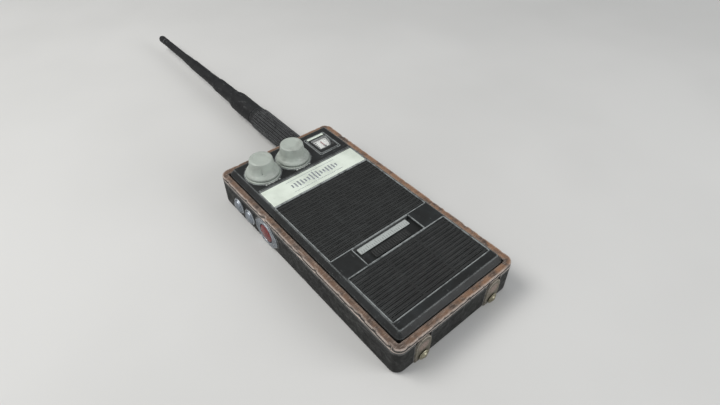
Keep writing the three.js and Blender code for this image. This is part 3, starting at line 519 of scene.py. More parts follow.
def filleted(path, radius, steps=4):
    """Rounds the inner corners of a path of pairs. A third number is a corner's own radius."""
    rounded = [Vector(path[0][:2])]
    for before, here, after in zip(path, path[1:], path[2:]):
        corner = Vector(here[:2])
        back, ahead = Vector(before[:2]) - corner, Vector(after[:2]) - corner
        reach = min(here[2] if len(here) > 2 else radius, back.length * 0.48, ahead.length * 0.48)
        if reach <= 0:
            rounded.append(corner)
            continue
        start = corner + back.normalized() * reach
        end = corner + ahead.normalized() * reach
        for step in range(steps + 1):
            t = step / steps
            rounded.append(start.lerp(corner, t).lerp(corner.lerp(end, t), t))
    rounded.append(Vector(path[-1][:2]))
    return rounded


def rod(radius, bottom, top):
    """The profile of a plain cylinder."""
    return [(0, bottom), (radius, bottom), (radius, top), (0, top)]


def divided(profile, step, core):
    """Cuts a profile's runs outside a core radius into short steps, for waves and dents."""
    points = []
    for a, b in zip(profile, profile[1:]):
        pieces = max(1, round((b - a).length / step)) if min(a.x, b.x) > core else 1
        points += [a.lerp(b, i / pieces) for i in range(pieces)]
    return [*points, profile[-1]]


UPRIGHT = Matrix.Identity(3)
OUT_OF_LEFT = Matrix(((0, 0, -1), (0, 1, 0), (1, 0, 0)))
ALONG_ANTENNA = Matrix(((1, 0, 0), (0, 0, 1), (0, -1, 0)))
OUT_OF_END = Matrix(((1, 0, 0), (0, 0, -1), (0, 1, 0)))


def turned(name, profile, place, axes=UPRIGHT, sides=64, wave=None):
    """Turns (radius, height) pairs about an axis. wave(angle, height) scales the radius."""
    points, rings = [], []
    for radius, height in profile:
        if radius < 1e-6:
            rings.append([len(points)] * sides)
            points.append(Vector((0, 0, height)))
            continue
        rings.append([len(points) + k for k in range(sides)])
        for k in range(sides):
            angle = tau * k / sides
            r = radius * (wave(angle, height) if wave else 1)
            points.append(Vector((r * cos(angle), r * sin(angle), height)))
    faces = []
    for low, high in zip(rings, rings[1:]):
        for k in range(sides):
            n = (k + 1) % sides
            corners = dict.fromkeys((low[k], low[n], high[n], high[k]))
            if len(corners) > 2:
                faces.append(tuple(corners))
    return build(name, [axes @ point + Vector(place) for point in points], faces)


def block(name, low, high, rounding=0.0):
    """A box between two corners, its edges rounded."""
    (x0, y0, z0), (x1, y1, z1) = low, high
    corners = [(x, y, z) for z in (z0, z1) for x, y in ((x0, y0), (x1, y0), (x1, y1), (x0, y1))]
    faces = [(3, 2, 1, 0), (4, 5, 6, 7), (0, 1, 5, 4), (1, 2, 6, 5), (2, 3, 7, 6), (3, 0, 4, 7)]
    obj = build(name, corners, faces)
    return soften(obj, rounding) if rounding else obj


def prism(name, outline, low, high, axes=UPRIGHT, place=(0, 0, 0)):
    """An outline of (a, b) pairs, anticlockwise, raised from low to high along the local z axis."""
    rings = [[axes @ Vector((a, b, h)) + Vector(place) for a, b in outline] for h in (low, high)]
    return loft(name, rings)


def combine(obj, tool, operation):
    modifier = obj.modifiers.new("cut", "BOOLEAN")
    modifier.operation = operation
    modifier.solver = "EXACT"
    modifier.object = tool
    apply_modifiers(obj)
    bpy.data.objects.remove(tool)


def carve(obj, *tools):
    for tool in tools:
        combine(obj, tool, "DIFFERENCE")
    return obj


def weld(obj, *others):
    for other in others:
        combine(obj, other, "UNION")
    return obj


def join(name, parts):
    """Several separate solids kept as one object."""
    work = bmesh.new()
    for part in parts:
        work.from_mesh(part.data)
        bpy.data.objects.remove(part)
    mesh = bpy.data.meshes.new(name)
    work.to_mesh(mesh)
    work.free()
    return place_new(name, mesh)


def soften(obj, width, segments=3, angle=32):
    """Rounds the sharp edges and keeps the flat faces flat."""
    split = obj.modifiers.new("split", "TRIANGULATE")
    split.min_vertices = 5
    bevel = obj.modifiers.new("round", "BEVEL")
    bevel.width = width * MM
    bevel.segments = segments
    bevel.limit_method = "ANGLE"
    bevel.angle_limit = radians(angle)
    bevel.miter_outer = "MITER_ARC"
    return apply_modifiers(obj)


def shade(obj, angle=30):
    obj.data.shade_smooth()
    weighted = obj.modifiers.new("normals", "WEIGHTED_NORMAL")
    weighted.keep_sharp = True
    obj.data.set_sharp_from_angle(angle=radians(angle))
    return apply_modifiers(obj)


def settle(obj, slot, *nodes, body="radio", angle=30, look=None):
    """Shades a piece, gives it its material and body, and hides the nodes it stands for."""
    shade(obj, angle)
    obj.data.materials.clear()
    obj.data.materials.append(LOOKS[look or slot])
    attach(obj, body)
    if nodes:
        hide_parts(*nodes)


# ---- leather case

SIDES = ("left", "right")
CASE_ROUND = 5.0
BACK_ROUND = 2.0
BACK_STEPS = 6
WALL = 1.8
CASE_FLOOR = 2.6
SEAM = 16.1
CASE_STEP = 2.0

STRAP_GAP = 0.3
STRAP_SEAT = 0.45
SEAT_ABOVE = 1.0
BUTTON_GAP = 0.6
ANTENNA_HOLE = 4.6
HOLE_REACH = 6

PLATE_CORNER = 5.4
PLATE_GAP = 0.3
PLATE_SEAT = 0.8


def leather_case():
    low, high = span("leather_case")
    size = high - low
    top = size.z
    turns = [QUARTER * step / BACK_STEPS for step in range(BACK_STEPS + 1)]
    back = [(BACK_ROUND * (1 - sin(a)), BACK_ROUND * (1 - cos(a))) for a in turns]
    walls = [(0, 4.5), (0, 8), (0, 12)]
    seam = [(0, SEAM), (0, SEAM + 0.35), (0.28, SEAM + 0.55), (0, SEAM + 0.75)]
    lip = [(0, top - 0.35), (0.1, top - 0.1), (0.35, top), (WALL - 0.2, top), (WALL, top - 0.2)]
    profile = [*back, *walls, *seam, *lip, (WALL, CASE_FLOOR)]
    cuts = (round(size.x / CASE_STEP), round(size.y / CASE_STEP))
    body = slab("leather_case", size.xy, CASE_ROUND, profile, cuts=cuts, steps=12)
    return carve(body, *case_tools())


def on_left_wall(name):
    """The place on the outside of the left wall where a control sits."""
    centre = middle(name)
    return (span("leather_case")[0].x, centre.y, centre.z)


def case_tools():
    """Seats for the straps and the talk plate, and holes for the antenna and side controls."""
    low, high = span("leather_case")
    for side in SIDES:
        tab_low, tab_high = span(f"strap_tab_{side}")
        anchor = span(f"strap_anchor_{side}")[1]
        corner = (tab_low.x - STRAP_GAP, low.y - 1, -1)
        x = tab_high.x + STRAP_GAP
        yield block("seat", corner, (x, low.y + STRAP_SEAT, tab_high.z + SEAT_ABOVE))
        yield block("seat", corner, (x, anchor.y + STRAP_GAP, anchor.z + STRAP_GAP))
    for name in ("ptt_button", "side_button_upper", "side_button_lower"):
        button_low, button_high = span(name)
        hole = rod((button_high.y - button_low.y) / 2 + BUTTON_GAP, -HOLE_REACH, HOLE_REACH)
        yield turned("hole", hole, on_left_wall(name), OUT_OF_LEFT)
    antenna = middle("antenna_grip")
    hole = rod(ANTENNA_HOLE, -HOLE_REACH, HOLE_REACH)
    yield turned("hole", hole, (antenna.x, high.y, antenna.z), ALONG_ANTENNA)
    yield plate_seat()


def octagon(grow=0.0):
    """The talk plate's outline."""
    low, high = span("ptt_plate")
    h, l = (high.z - low.z + grow) / 2, (high.y - low.y + grow) / 2
    h1, l1 = h - PLATE_CORNER, l - PLATE_CORNER
    return [(-h, -l1), (-h1, -l), (h1, -l), (h, -l1), (h, l1), (h1, l), (-h1, l), (-h, l1)]


def plate_seat():
    wall = on_left_wall("ptt_plate")
    return prism("seat", octagon(PLATE_GAP), -PLATE_SEAT, 2, OUT_OF_LEFT, wall)


RIM_STEP = 1.1
RIM_LAP = 0.28
RIM_WIDTH = 3.9

CHIP_DEPTH = 1.4
CHIP_BAND = 2.2
CHIP_SPACING = 2.6
LEFT_CHIPS, OTHER_CHIPS = 1.7, 0.9
CHIP_LIMIT = 0.08
EDGE_REACH = 5
WAVE_SPACING = 7
WAVE_DEPTH = 0.10
BITE_DEPTH = 0.8


def case_rim():
    low, high = span("case_rim")
    size = high - low
    foot, top = low.z - RIM_LAP, high.z
    corners = [(RIM_WIDTH, foot), (0.02, foot), (0, top - 0.05, 0.7), (0.9, top, 0.5),
               (3.2, top, 0.3), (3.95, top - 0.5, 0.5), (RIM_WIDTH, foot)]
    section = filleted(corners, 0.1, steps=3)[:-1]
    cuts = (round(size.x / RIM_STEP), round(size.y / RIM_STEP))
    rim = slab("case_rim", size.xy, CASE_ROUND, section, closed=True, cuts=cuts, steps=12)
    chip_rim(rim, size, top)
    return rim


def chip_rim(rim, size, top):
    """Waves the top a little and bites small chips out of the outer edge."""
    for vertex in rim.data.vertices:
        x, y, z = vertex.co / MM
        if z < top - CHIP_DEPTH:
            continue
        beyond = (abs(x) - size.x / 2, abs(y) - size.y / 2)
        wave = noise.noise(Vector((x, y, 0)) / WAVE_SPACING)
        chips = max(0, noise.noise(Vector((x, y, 40)) / CHIP_SPACING) - CHIP_LIMIT)
        share = LEFT_CHIPS if x < EDGE_REACH - size.x / 2 else OTHER_CHIPS
        bite = share * chips * within((max(beyond) + CHIP_BAND) / 2)
        inward = [-copysign(1, at) if out > -EDGE_REACH else 0 for at, out in zip((x, y), beyond)]
        vertex.co.z -= (WAVE_DEPTH * (wave + 0.5) + BITE_DEPTH * bite) * MM
        vertex.co += Vector((*inward, 0)) * BITE_DEPTH * bite * MM


STRAP_BEND = 2.0
STRAP_STRAIGHT = 1.2
STRAP_RISE = 0.9
BEND_STEPS = 7

# half of the strap's section: the place across it, and its thickness there
STRAP_SECTION = ((-1, 0.32), (-0.93, 0.93), (-0.84, 1.0), (-0.74, 0.76), (-0.6, 0.95), (-0.3, 0.98))


def strap_path(side):
    """The middle of the strip's thickness, from the anchor's end to the tab's top."""
    low, high = span(f"strap_tab_{side}")
    half_thick = (high.y - low.y) / 2
    y = (low.y + high.y) / 2
    bend_y, bend_z = y + STRAP_BEND, half_thick + STRAP_BEND
    anchor_end = span(f"strap_anchor_{side}")[1].y
    path = [(anchor_end - STRAP_STRAIGHT * i, half_thick) for i in range(8)]
    path = [point for point in path if point[0] > bend_y + 0.3]
    for step in range(BEND_STEPS + 1):
        a = QUARTER * step / BEND_STEPS
        path.append((bend_y - STRAP_BEND * sin(a), bend_z - STRAP_BEND * cos(a)))
    rise = bend_z + STRAP_RISE
    while rise < high.z - 0.1:
        path.append((y, rise))
        rounded = rise > high.z - (high.x - low.x) / 2 - 0.5
        rise += STRAP_RISE / 2 if rounded else STRAP_RISE
    return [*path, (y, high.z - 0.04)], bend_z


def strap(side):
    """One bent leather strip: let in under the back, round the corner and up the end wall."""
    low, high = span(f"strap_tab_{side}")
    half_thick, half = (high.y - low.y) / 2, (high.x - low.x) / 2
    x = (low.x + high.x) / 2
    path, bend_z = strap_path(side)
    section = [*STRAP_SECTION, (0, 0.99), *((-a, s) for a, s in reversed(STRAP_SECTION))]
    rings = []
    for i, (y, z) in enumerate(path):
        ahead = Vector(path[min(i + 1, len(path) - 1)]) - Vector(path[max(i - 1, 0)])
        out = Vector((ahead.y, -ahead.x)).normalized() * half_thick
        reach = half
        if i > 8 and z > bend_z and high.z - z < half:
            reach = sqrt(max(0.02, half ** 2 - (half - high.z + z) ** 2))
        outer = [Vector((x + a * reach, y - out.x * s, z - out.y * s)) for a, s in section]
        inner = [Vector((x + a * reach, y + out.x, z + out.y)) for a, s in reversed(section)]
        rings.append(outer + inner)
    return loft(f"strap_{side}", rings)


def snap_cap(side):
    name = f"snap_cap_{side}"
    low, high = span(name)
    centre = middle(name)
    radius, height = radius_of(name), high.y - low.y
    rim = [(0, 0.25), (radius - 0.7, 0.25), (radius - 0.5, 0), (radius, 0.05), (radius, 0.45)]
    dome = [(radius - 0.35, 0.72), (radius * 0.72, 0.55), (radius * 0.6, 0.8),
            (radius * 0.4, height - 0.1), (0, height)]
    profile = filleted([*rim, *dome], 0.25)
    return turned(name, profile, (centre.x, high.y, centre.z), OUT_OF_END, sides=48)


def add_case():
    settle(leather_case(), "black_leather", "leather_case")
    settle(case_rim(), "brown_leather", "case_rim", angle=50)
    for side in SIDES:
        body = f"{side}_strap"
        piece = shade(strap(side), 40)
        piece.data.materials.append(LOOKS["olive_leather"])
        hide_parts(f"strap_tab_{side}", f"strap_anchor_{side}")
        low, high = span(f"strap_tab_{side}")
        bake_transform(piece)
        settle(snap_cap(side), "brass", f"snap_cap_{side}", body=body)


# ---- front panel

PANEL_CORNER = 3.3
PANEL_TOP = 24.0
BELOW_PANEL, ABOVE_PANEL = 15, PANEL_TOP + 3
PRINT_FOOT, PRINT_TOP = PANEL_TOP - 0.1, PANEL_TOP + 0.05

BEAD_SIZE = (64.6, 1.9)
BEAD_Y = 44.1

POST_X, POST_Y = 31.3, 69
POST_RADIUS, PILOT_RADIUS = 2.6, 1.5

KNOBS = ("volume", "squelch")
SEAT_GAP = 0.12
SEAT_DEPTH = 0.2
GRILLE_LEDGE = 1.5
SHAFT_HOLE = 4.2
METER_GAP = 0.2
METER_OPENING = 17.5
STEM_SLOT = (8.5, 1.1)

RECESS_X, RECESS_Y = -0.4, -28.2
RECESS_WIDTH, RECESS_LENGTH = 38.2, 12.4
RECESS_FLOOR = 21.9
RECESS_SLOPE = 1.1


def front_panel():
    edge = [(0, 20.8), (0.12, 21.1), (2.3, 23.86), (2.45, 23.97), (2.65, PANEL_TOP)]
    profile = [(3.6, 21), (2.4, 20.6), (1.8, 19.6), (1.8, 17), (0, 17), *edge]
    panel = slab("front_panel", plan("front_panel")[1], PANEL_CORNER, profile)
    bead = [(0, 23), (0, 24.1), (0.3, 24.45), (0.5, 24.5)]
    weld(panel, slab("bead", BEAD_SIZE, 0.5, bead, centre=(0, BEAD_Y), steps=4))
    for x in (-POST_X, POST_X):
        for y in (-POST_Y, POST_Y):
            weld(panel, turned("post", rod(POST_RADIUS, 6.7, 21.3), (x, y, 0), sides=24))
            carve(panel, turned("pilot", rod(PILOT_RADIUS, 6, 15), (x, y, 0), sides=16))
    carve(panel, *panel_tools())
    return soften(panel, 0.16, segments=2, angle=24)


def opening(name, bottom=None, grow=SEAT_GAP):
    """A block over a CAD node's outline, from a seat under the node unless it goes deeper."""
    low, high = span(name)
    foot = low.z - SEAT_DEPTH if bottom is None else bottom
    return block("opening", (low.x - grow, low.y - grow, foot),
                 (high.x + grow, high.y + grow, ABOVE_PANEL))


def panel_tools():
    """Seats for everything that is let into the panel, and holes for what goes through it."""
    for name in ("speaker_grille", "lower_grille"):
        yield opening(name)
        yield opening(name, BELOW_PANEL, grow=-GRILLE_LEDGE)
    for name in KNOBS:
        disc = f"{name}_index_disc"
        radius = radius_of(disc) + SEAT_GAP
        seat = span(disc)[0].z - SEAT_DEPTH
        step = [(0, BELOW_PANEL), (SHAFT_HOLE, BELOW_PANEL), (SHAFT_HOLE, seat), (radius, seat),
                (radius, ABOVE_PANEL), (0, ABOVE_PANEL)]
        yield turned("opening", step, (*middle(disc).xy, 0), sides=72)
    yield opening("nameplate")
    low, high = span("meter_housing")
    yield block("opening", (low.x - METER_GAP, high.y - METER_OPENING, BELOW_PANEL),
                (high.x + METER_GAP, high.y + METER_GAP, ABOVE_PANEL))
    yield channel_recess()
    x, y = plan("channel_slider")[0]
    reach, half = STEM_SLOT
    yield block("opening", (x - reach, y - half, BELOW_PANEL), (x + reach, y + half, ABOVE_PANEL))


def channel_recess():
    """The recess has upright ends and a sloping upper side, above the scale."""
    near, far = RECESS_Y - RECESS_LENGTH / 2, RECESS_Y + RECESS_LENGTH / 2
    side = [(near, RECESS_FLOOR), (far - RECESS_SLOPE, RECESS_FLOOR), (far, PANEL_TOP - 0.2),
            (far, ABOVE_PANEL), (near, ABOVE_PANEL)]
    ends = (RECESS_X - RECESS_WIDTH / 2, RECESS_X + RECESS_WIDTH / 2)
    return loft("recess", [[Vector((x, a, b)) for a, b in side] for x in ends])


RIB_HALF = 0.62
RIB_RISE = 0.36
RIB_SLOPE = 0.05
RIB_ROUND = 0.14
GRILLES = (("speaker_grille", 19), ("lower_grille", 12))
GRILLE_COLUMNS = 3
SLOT_MARGIN = 1.2
SLOT_WIDTHS = (0.2, 0.46)


def grille(name, ribs):
    """A ribbed plate. A fine slot runs along both feet of each rib, in columns."""
    low, high = span(name)
    pitch = (high.y - low.y) / ribs
    valley = high.z - RIB_RISE
    outline = [Vector((low.y, valley))]
    for row in range(ribs):
        y = low.y + (row + 0.5) * pitch
        near, far = y - RIB_HALF, y + RIB_HALF
        rib = [(near - RIB_SLOPE, valley), (near, high.z), (far, high.z), (far + RIB_SLOPE, valley)]
        outline += filleted(rib, RIB_ROUND, steps=3)
    outline += [Vector((high.y, valley)), Vector((high.y, low.z)), Vector((low.y, low.z))]
    rings = [[Vector((x, p.x, p.y)) for p in outline] for x in (low.x, high.x)]
    plate = loft(name, [list(reversed(ring)) for ring in rings])
    column = (high.x - low.x - SLOT_MARGIN) / GRILLE_COLUMNS
    slots = []
    for step in range(GRILLE_COLUMNS):
        x = low.x + SLOT_MARGIN + step * column
        end = x + column - SLOT_MARGIN
        for row in range(1, ribs):
            upper = low.y + (row + 0.5) * pitch - RIB_HALF - 2 * RIB_SLOPE
            lower = low.y + (row - 0.5) * pitch + RIB_HALF + 2 * RIB_SLOPE
            for y0, y1 in ((upper - SLOT_WIDTHS[0], upper), (lower, lower + SLOT_WIDTHS[1])):
                slots.append(block("slot", (x, y0, low.z - 1), (end, y1, high.z)))
    return carve(plate, join("slots", slots))


def nameplate():
    low, high = span("nameplate")
    centre, size = plan("nameplate")
    top = high.z
    edge = [(0, low.z), (0, top - 0.4), (0.06, top - 0.2), (0.22, top - 0.05), (0.42, top)]
    return slab("nameplate", size, 0.6, edge, centre=centre, steps=6)


BARS_EACH_SIDE = 7
BAR_PITCH = 2.2
BAR_HALF = 0.55
BAR_HEIGHT = 0.14
RULE_AWAY = 4.6
RULE_REACH = 17
RULE_HALF = 0.12


def wave_bars():
    """A row of raised bars that rise and fall like a sound wave, between two fine rules."""
    high = span("nameplate")[1]
    x, y = plan("nameplate")[0]
    foot, top = high.z - 0.1, high.z + BAR_HEIGHT
    bars = []
    for i in range(-BARS_EACH_SIDE, BARS_EACH_SIDE + 1):
        half = 0.9 + 2.6 * abs(cos(i * 0.62)) * (1 - abs(i) / 12)
        at = x + i * BAR_PITCH
        low, high = (at - BAR_HALF, y - half, foot), (at + BAR_HALF, y + half, top)
        bars.append(block("bar", low, high, 0.1))
    for side in (-1, 1):
        rule = y + side * RULE_AWAY
        bars.append(block("rule", (x - RULE_REACH, rule - RULE_HALF, foot),
                          (x + RULE_REACH, rule + RULE_HALF, top - 0.06), 0.03))
    return join("nameplate_wave", bars)


def add_panel():
    settle(front_panel(), "black_plastic", "front_panel")
    for name, ribs in GRILLES:
        settle(grille(name, ribs), "black_plastic", name, look="ribbed_plastic")
    settle(nameplate(), "silver_plate", "nameplate")
    settle(wave_bars(), "side_metal")


# ---- knobs

FLUTES = 12
FLUTE_DEPTH = 0.028
SKIRT_HEIGHT = 1.9
POINTER_ANGLE = {"volume": -2.1, "squelch": 0.9}
POINTER_START, POINTER_END = 6.9, 9.6
POINTER_HALF = 0.18
DISC_BORE = 4.2

TICKS = 11
FIRST_TICK, TICK_STEP = -240, 30
DASHES = 6
DASH_PITCH = 1.75
DASH_LENGTH = 1.2
DASH_LOW, DASH_HIGH = 46.2, 47.0


def knob(name):
    node = f"{name}_knob"
    low, high = span(node)
    place = (*middle(node).xy, 0)
    radius = radius_of(node)
    foot, top = low.z, high.z
    cone = foot + SKIRT_HEIGHT
    skirt = [(3, foot), (radius - 0.4, foot), (radius, foot + 0.35, 0.25),
             (radius, foot + 1.15, 0.35)]
    sides = [(9.1, cone + 0.1, 0.5), (8.35, cone + 0.7, 0.7), (7.6, cone + 2.4, 0.8)]
    crown = [(6.75, top - 0.35, 0.55), (6.0, top, 0.35), (4.7, top, 0.15)]
    dish = [(4.45, top - 0.18, 0.15), (2.2, top - 0.16, 0.5), (0, top - 0.12)]
    profile = filleted([*skirt, *sides, *crown, *dish], 0.2, steps=4)

    def flutes(angle, height):
        rise = (height - cone - 0.6) / (top - cone - 1.4)
        depth = FLUTE_DEPTH * within(6 * min(rise, 1 - rise))
        return 1 - depth * (0.5 + 0.5 * cos(FLUTES * angle)) ** 2

    body = turned(node, [(0, foot + 0.6), (3, foot + 0.6), *profile], place, sides=144, wave=flutes)
    outline = [(POINTER_START, -POINTER_HALF), (POINTER_END, -POINTER_HALF),
               (POINTER_END, POINTER_HALF), (POINTER_START, POINTER_HALF)]
    pointer = prism("pointer", outline, cone + 1.6, top + 1)
    return carve(body, swung(pointer, place, POINTER_ANGLE[name]))


def swung(obj, place, angle):
    """Turns a piece that was built at the origin about Z, and moves it to a place."""
    turn = Matrix.Rotation(angle, 4, "Z")
    obj.data.transform(Matrix.Translation(Vector(place) * MM) @ turn)
    return obj


def index_disc(name):
    node = f"{name}_index_disc"
    low, high = span(node)
    radius = radius_of(node)
    edge = [(DISC_BORE, low.z), (radius, low.z), (radius, high.z, 0.35), (radius - 1.2, high.z),
            (radius - 1.3, high.z - 0.1), (DISC_BORE, high.z - 0.1), (DISC_BORE, low.z)]
    return turned(node, filleted(edge, 0.1), (*middle(node).xy, 0), sides=96)


def dial_marks(name):
    """Printed ticks round a knob and a row of dashes under it."""
    disc = f"{name}_index_disc"
    centre = middle(disc)
    start = radius_of(disc) + 0.5
    marks = []
    for i in range(TICKS):
        end = radius_of(disc) + (1.4 if i % 5 == 0 else 0.95)
        tick = block("tick", (start, -0.1, PRINT_FOOT), (end, 0.1, PRINT_TOP))
        marks.append(swung(tick, (*centre.xy, 0), radians(FIRST_TICK + TICK_STEP * i)))
    for i in range(DASHES):
        x = centre.x - 4.9 + DASH_PITCH * i
        corner = (x + DASH_LENGTH, DASH_HIGH, PRINT_TOP)
        marks.append(block("dash", (x, DASH_LOW, PRINT_FOOT), corner))
    return join(f"{name}_scale_marks", marks)


def add_knobs():
    for name in KNOBS:
        settle(knob(name), "grey_plastic", f"{name}_knob", body=f"{name}_control")
        settle(index_disc(name), "grey_plastic", f"{name}_index_disc")
        settle(dial_marks(name), "white_print", look="faint_print")


# ---- meter

METER_CORNER = 1.6
METER_LENGTH = 17.1
DIAL_STEPS = 5
DIAL_STEP_PITCH = 1.55
DIAL_TICK_ANGLE = 0.13
PIVOT_ABOVE = 0.8


def meter_housing():
    low, high = span("meter_housing")
    top = high.z
    low.y = high.y - METER_LENGTH
    centre = ((low.x + high.x) / 2, (low.y + high.y) / 2)
    size = (high.x - low.x, high.y - low.y)
    edge = [(2.0, 13), (2.0, 21), (0, 21), (0, top - 0.5), (0.15, top - 0.15), (0.5, top)]
    housing = slab("meter_housing", size, METER_CORNER, edge, centre=centre, steps=8)
    carve(housing, prism("window", arched(0.15), span("meter_dial")[1].z - 0.9, top + 2))
    return soften(housing, 0.2, 2)


def add_meter():
    settle(meter_housing(), "black_plastic", "meter_housing")
    low, high = span("meter_dial")
    dial = prism("meter_dial", arched(0.0), low.z, high.z)
    settle(dial, "white_print", "meter_dial")
    settle(meter_marks(), "black_plastic", look="ink")
    settle(needle(), "red_plastic", "meter_needle", body="needle")
    settle(needle_cap(), "black_plastic", body="needle", look="ink")
    trim = block("meter_trim_bar", *span("meter_trim_bar"), 0.18)
    settle(trim, "chrome", "meter_trim_bar", look="silver_plate")


def arched(grow):
    """The dial's outline: square on the left, arched in towards the bottom on the right."""
    low, high = span("meter_dial")
    x0, x1 = low.x - grow, high.x + grow
    y0, y1 = low.y - grow, high.y + grow
    right = [(x1 - 2.9 * (1 - t) ** 2, y0 + (y1 - y0) * t) for t in (step / 8 for step in range(9))]
    return [(x0, y0), *right, (x0, y1)]


def meter_marks():
    """Black steps that widen down the dial's left side, and an arc of ticks over the needle."""
    low, high = span("meter_dial")
    foot, top = high.z - 0.05, high.z + 0.06
    marks = []
    for i in range(DIAL_STEPS):
        y = low.y + 1.2 + DIAL_STEP_PITCH * i
        marks.append(block("step", (low.x + 0.5, y, foot), (low.x + 1.3 + 0.22 * i, y + 0.8, top)))
    for i in range(-4, 5):
        tick = block("tick", (6.6, -0.07, foot), (7.5 if i % 2 == 0 else 7.1, 0.07, top))
        marks.append(swung(tick, needle_pivot(), QUARTER - i * DIAL_TICK_ANGLE))
    return join("meter_marks", marks)


def needle_pivot():
    return (plan("meter_needle")[0][0], span("meter_needle")[0].y + PIVOT_ABOVE, 0)


def needle():
    low, high = span("meter_needle")
    x, pivot = needle_pivot()[:2]
    blade = [(x - 0.45, pivot), (x + 0.45, pivot), (x + 0.25, high.y), (x - 0.25, high.y)]
    pointer = prism("blade", blade, high.z - 0.2, high.z)
    stem = turned("stem", rod(0.5, low.z, high.z - 0.1), needle_pivot(), sides=24)
    return join("meter_needle", [pointer, stem])


def needle_cap():
    """The black cap over the needle's pivot."""
    top = span("meter_needle")[1].z
    profile = filleted(rod(0.85, top - 0.3, top + 0.25), 0.15)
    return turned("meter_needle_cap", profile, needle_pivot(), sides=32)


# ---- channel selector

SCALE_PARTS = 24
PAD_TOP = 23.1
RIDGES = 15
RIDGE_HALF = 0.38


def channel_scale():
    low, high = span("channel_scale")
    centre, size = plan("channel_scale")
    edge = [(0, low.z), (0, high.z - 0.25), (0.3, high.z)]
    return slab("channel_scale", size, 0.4, edge, centre=centre, steps=4)


def scale_ticks():
    low, high = span("channel_scale")
    foot = low.y + 0.4
    ticks = []
    for i in range(1, SCALE_PARTS):
        x = low.x + (high.x - low.x) * i / SCALE_PARTS
        end = foot + (2.4 if i % 4 == 0 else 1.5)
        ticks.append(block("tick", (x - 0.09, foot, high.z - 0.05), (x + 0.09, end, high.z + 0.04)))
    return join("channel_scale_ticks", ticks)


def channel_slider():
    """A flat pad with ridges across it, on a stem that goes down through the panel."""
    low, high = span("channel_slider")
    centre, size = plan("channel_slider")
    x, y = centre
    foot = RECESS_FLOOR + 0.2
    edge = [(0, foot), (0, PAD_TOP - 0.3), (0.25, PAD_TOP - 0.05), (0.5, PAD_TOP)]
    parts = [slab("pad", size, 0.7, edge, centre=centre, steps=6)]
    for i in range(RIDGES):
        at = low.x + 1.5 + (size[0] - 3) * i / (RIDGES - 1)
        parts.append(block("ridge", (at - RIDGE_HALF, low.y + 0.6, PAD_TOP - 0.2),
                           (at + RIDGE_HALF, high.y - 0.6, high.z), 0.22))
    parts.append(block("stem", (x - 2, y - 0.7, low.z), (x + 2, y + 0.7, foot + 0.2)))
    return join("channel_slider", parts)


def add_channel():
    settle(channel_scale(), "white_print", "channel_scale", look="scale_print")
    settle(scale_ticks(), "black_plastic", look="grey_ink")
    settle(channel_slider(), "black_plastic", "channel_slider", body="channel_control",
           look="ribbed_plastic")


# ---- side controls

BUTTON_HOLE = 6.2
RING_SEAT = 7.6
RING_PROFILE = [(5.95, 0.3), (7.4, 0.3), (7.4, 0.62, 0.2), (6.9, 1.0, 0.25), (6.35, 1.0, 0.25),
                (5.95, 0.75, 0.2), (5.95, 0.3)]
TALK_PROFILE = [(0, -5), (2.5, -5), (2.5, -3.6), (5.6, -3.6), (5.6, 0.55, 0.35), (4.8, 0.85, 0.8),
                (2.5, 1.12, 1.5), (0, 1.2)]
COLLAR_PROFILE = [(4.3, 0.05), (4.9, 0.05), (4.9, 0.6, 0.25), (4.6, 0.9, 0.2), (4.3, 0.9, 0.1),
                  (4.3, 0.05)]
DOME_PROFILE = [(0, -4.6), (1.8, -4.6), (1.8, -3.4), (4, -3.4), (4, 1.3, 0.8), (2.9, 1.95, 1.2),
                (1.4, 2.25, 1), (0, 2.3)]


def talk_plate(place):
    plate = prism("ptt_plate", octagon(), -0.5, 0.5, OUT_OF_LEFT, place)
    carve(plate, turned("hole", rod(BUTTON_HOLE, -3, 3), place, OUT_OF_LEFT),
          turned("hole", rod(RING_SEAT, 0, 3), place, OUT_OF_LEFT))
    return soften(plate, 0.28)


def on_wall(node, profile, place, sides):
    return turned(node, profile, place, OUT_OF_LEFT, sides=sides)


def add_side_controls():
    place = on_left_wall("ptt_button")
    settle(talk_plate(place), "side_metal", "ptt_plate")
    ring = on_wall("ptt_ring", filleted(RING_PROFILE, 0.1), place, 96)
    settle(ring, "side_metal", "ptt_ring")
    button = on_wall("ptt_button", filleted(TALK_PROFILE, 0.2, steps=6), place, 96)
    settle(button, "red_plastic", "ptt_button", body="talk_button")
    for name in ("upper", "lower"):
        place = on_left_wall(f"side_button_{name}")
        collar = on_wall(f"side_collar_{name}", filleted(COLLAR_PROFILE, 0.1), place, 72)
        settle(collar, "side_metal", f"side_collar_{name}")
        dome = on_wall(f"side_button_{name}", filleted(DOME_PROFILE, 0.2, steps=6), place, 72)
        settle(dome, "side_metal", f"side_button_{name}", body=f"{name}_side_button")


# ---- antenna

GRIP_RIBS = 24
GROOVE_DEPTH = 0.075
WHIP_CORE = 3.6
DENT_LIMIT = 2
TIP_RADIUS = 2.98


def end_of(node, place):
    """How far a piece of the antenna reaches along it from its foot."""
    return span(node)[1].y - place[1]


def grip(place):
    end = end_of("antenna_grip", place)
    radius = radius_of("antenna_grip")
    foot = [(0, 0.3), (6.7, 0.3), (radius - 0.2, 1.6, 0.8)]
    sides = [(radius, 5), (radius, 20), (radius, 35), (radius, end - 4.6, 1.5)]
    top = [(7.25, end - 2.2, 1.2), (7.1, end - 0.3, 0.2), (0, end)]
    profile = divided(filleted([*foot, *sides, *top], 0.4), 1.5, 5)

    def ribs(angle, height):
        fade = within(min((height - 0.9) / 1.2, (end - 3.0 - height) / 2.2))
        groove = max(0, -cos(GRIP_RIBS * angle) - 0.1) ** 0.7
        return 1 - GROOVE_DEPTH * fade * groove

    return turned("antenna_grip", profile, place, ALONG_ANTENNA, sides=GRIP_RIBS * 12, wave=ribs)


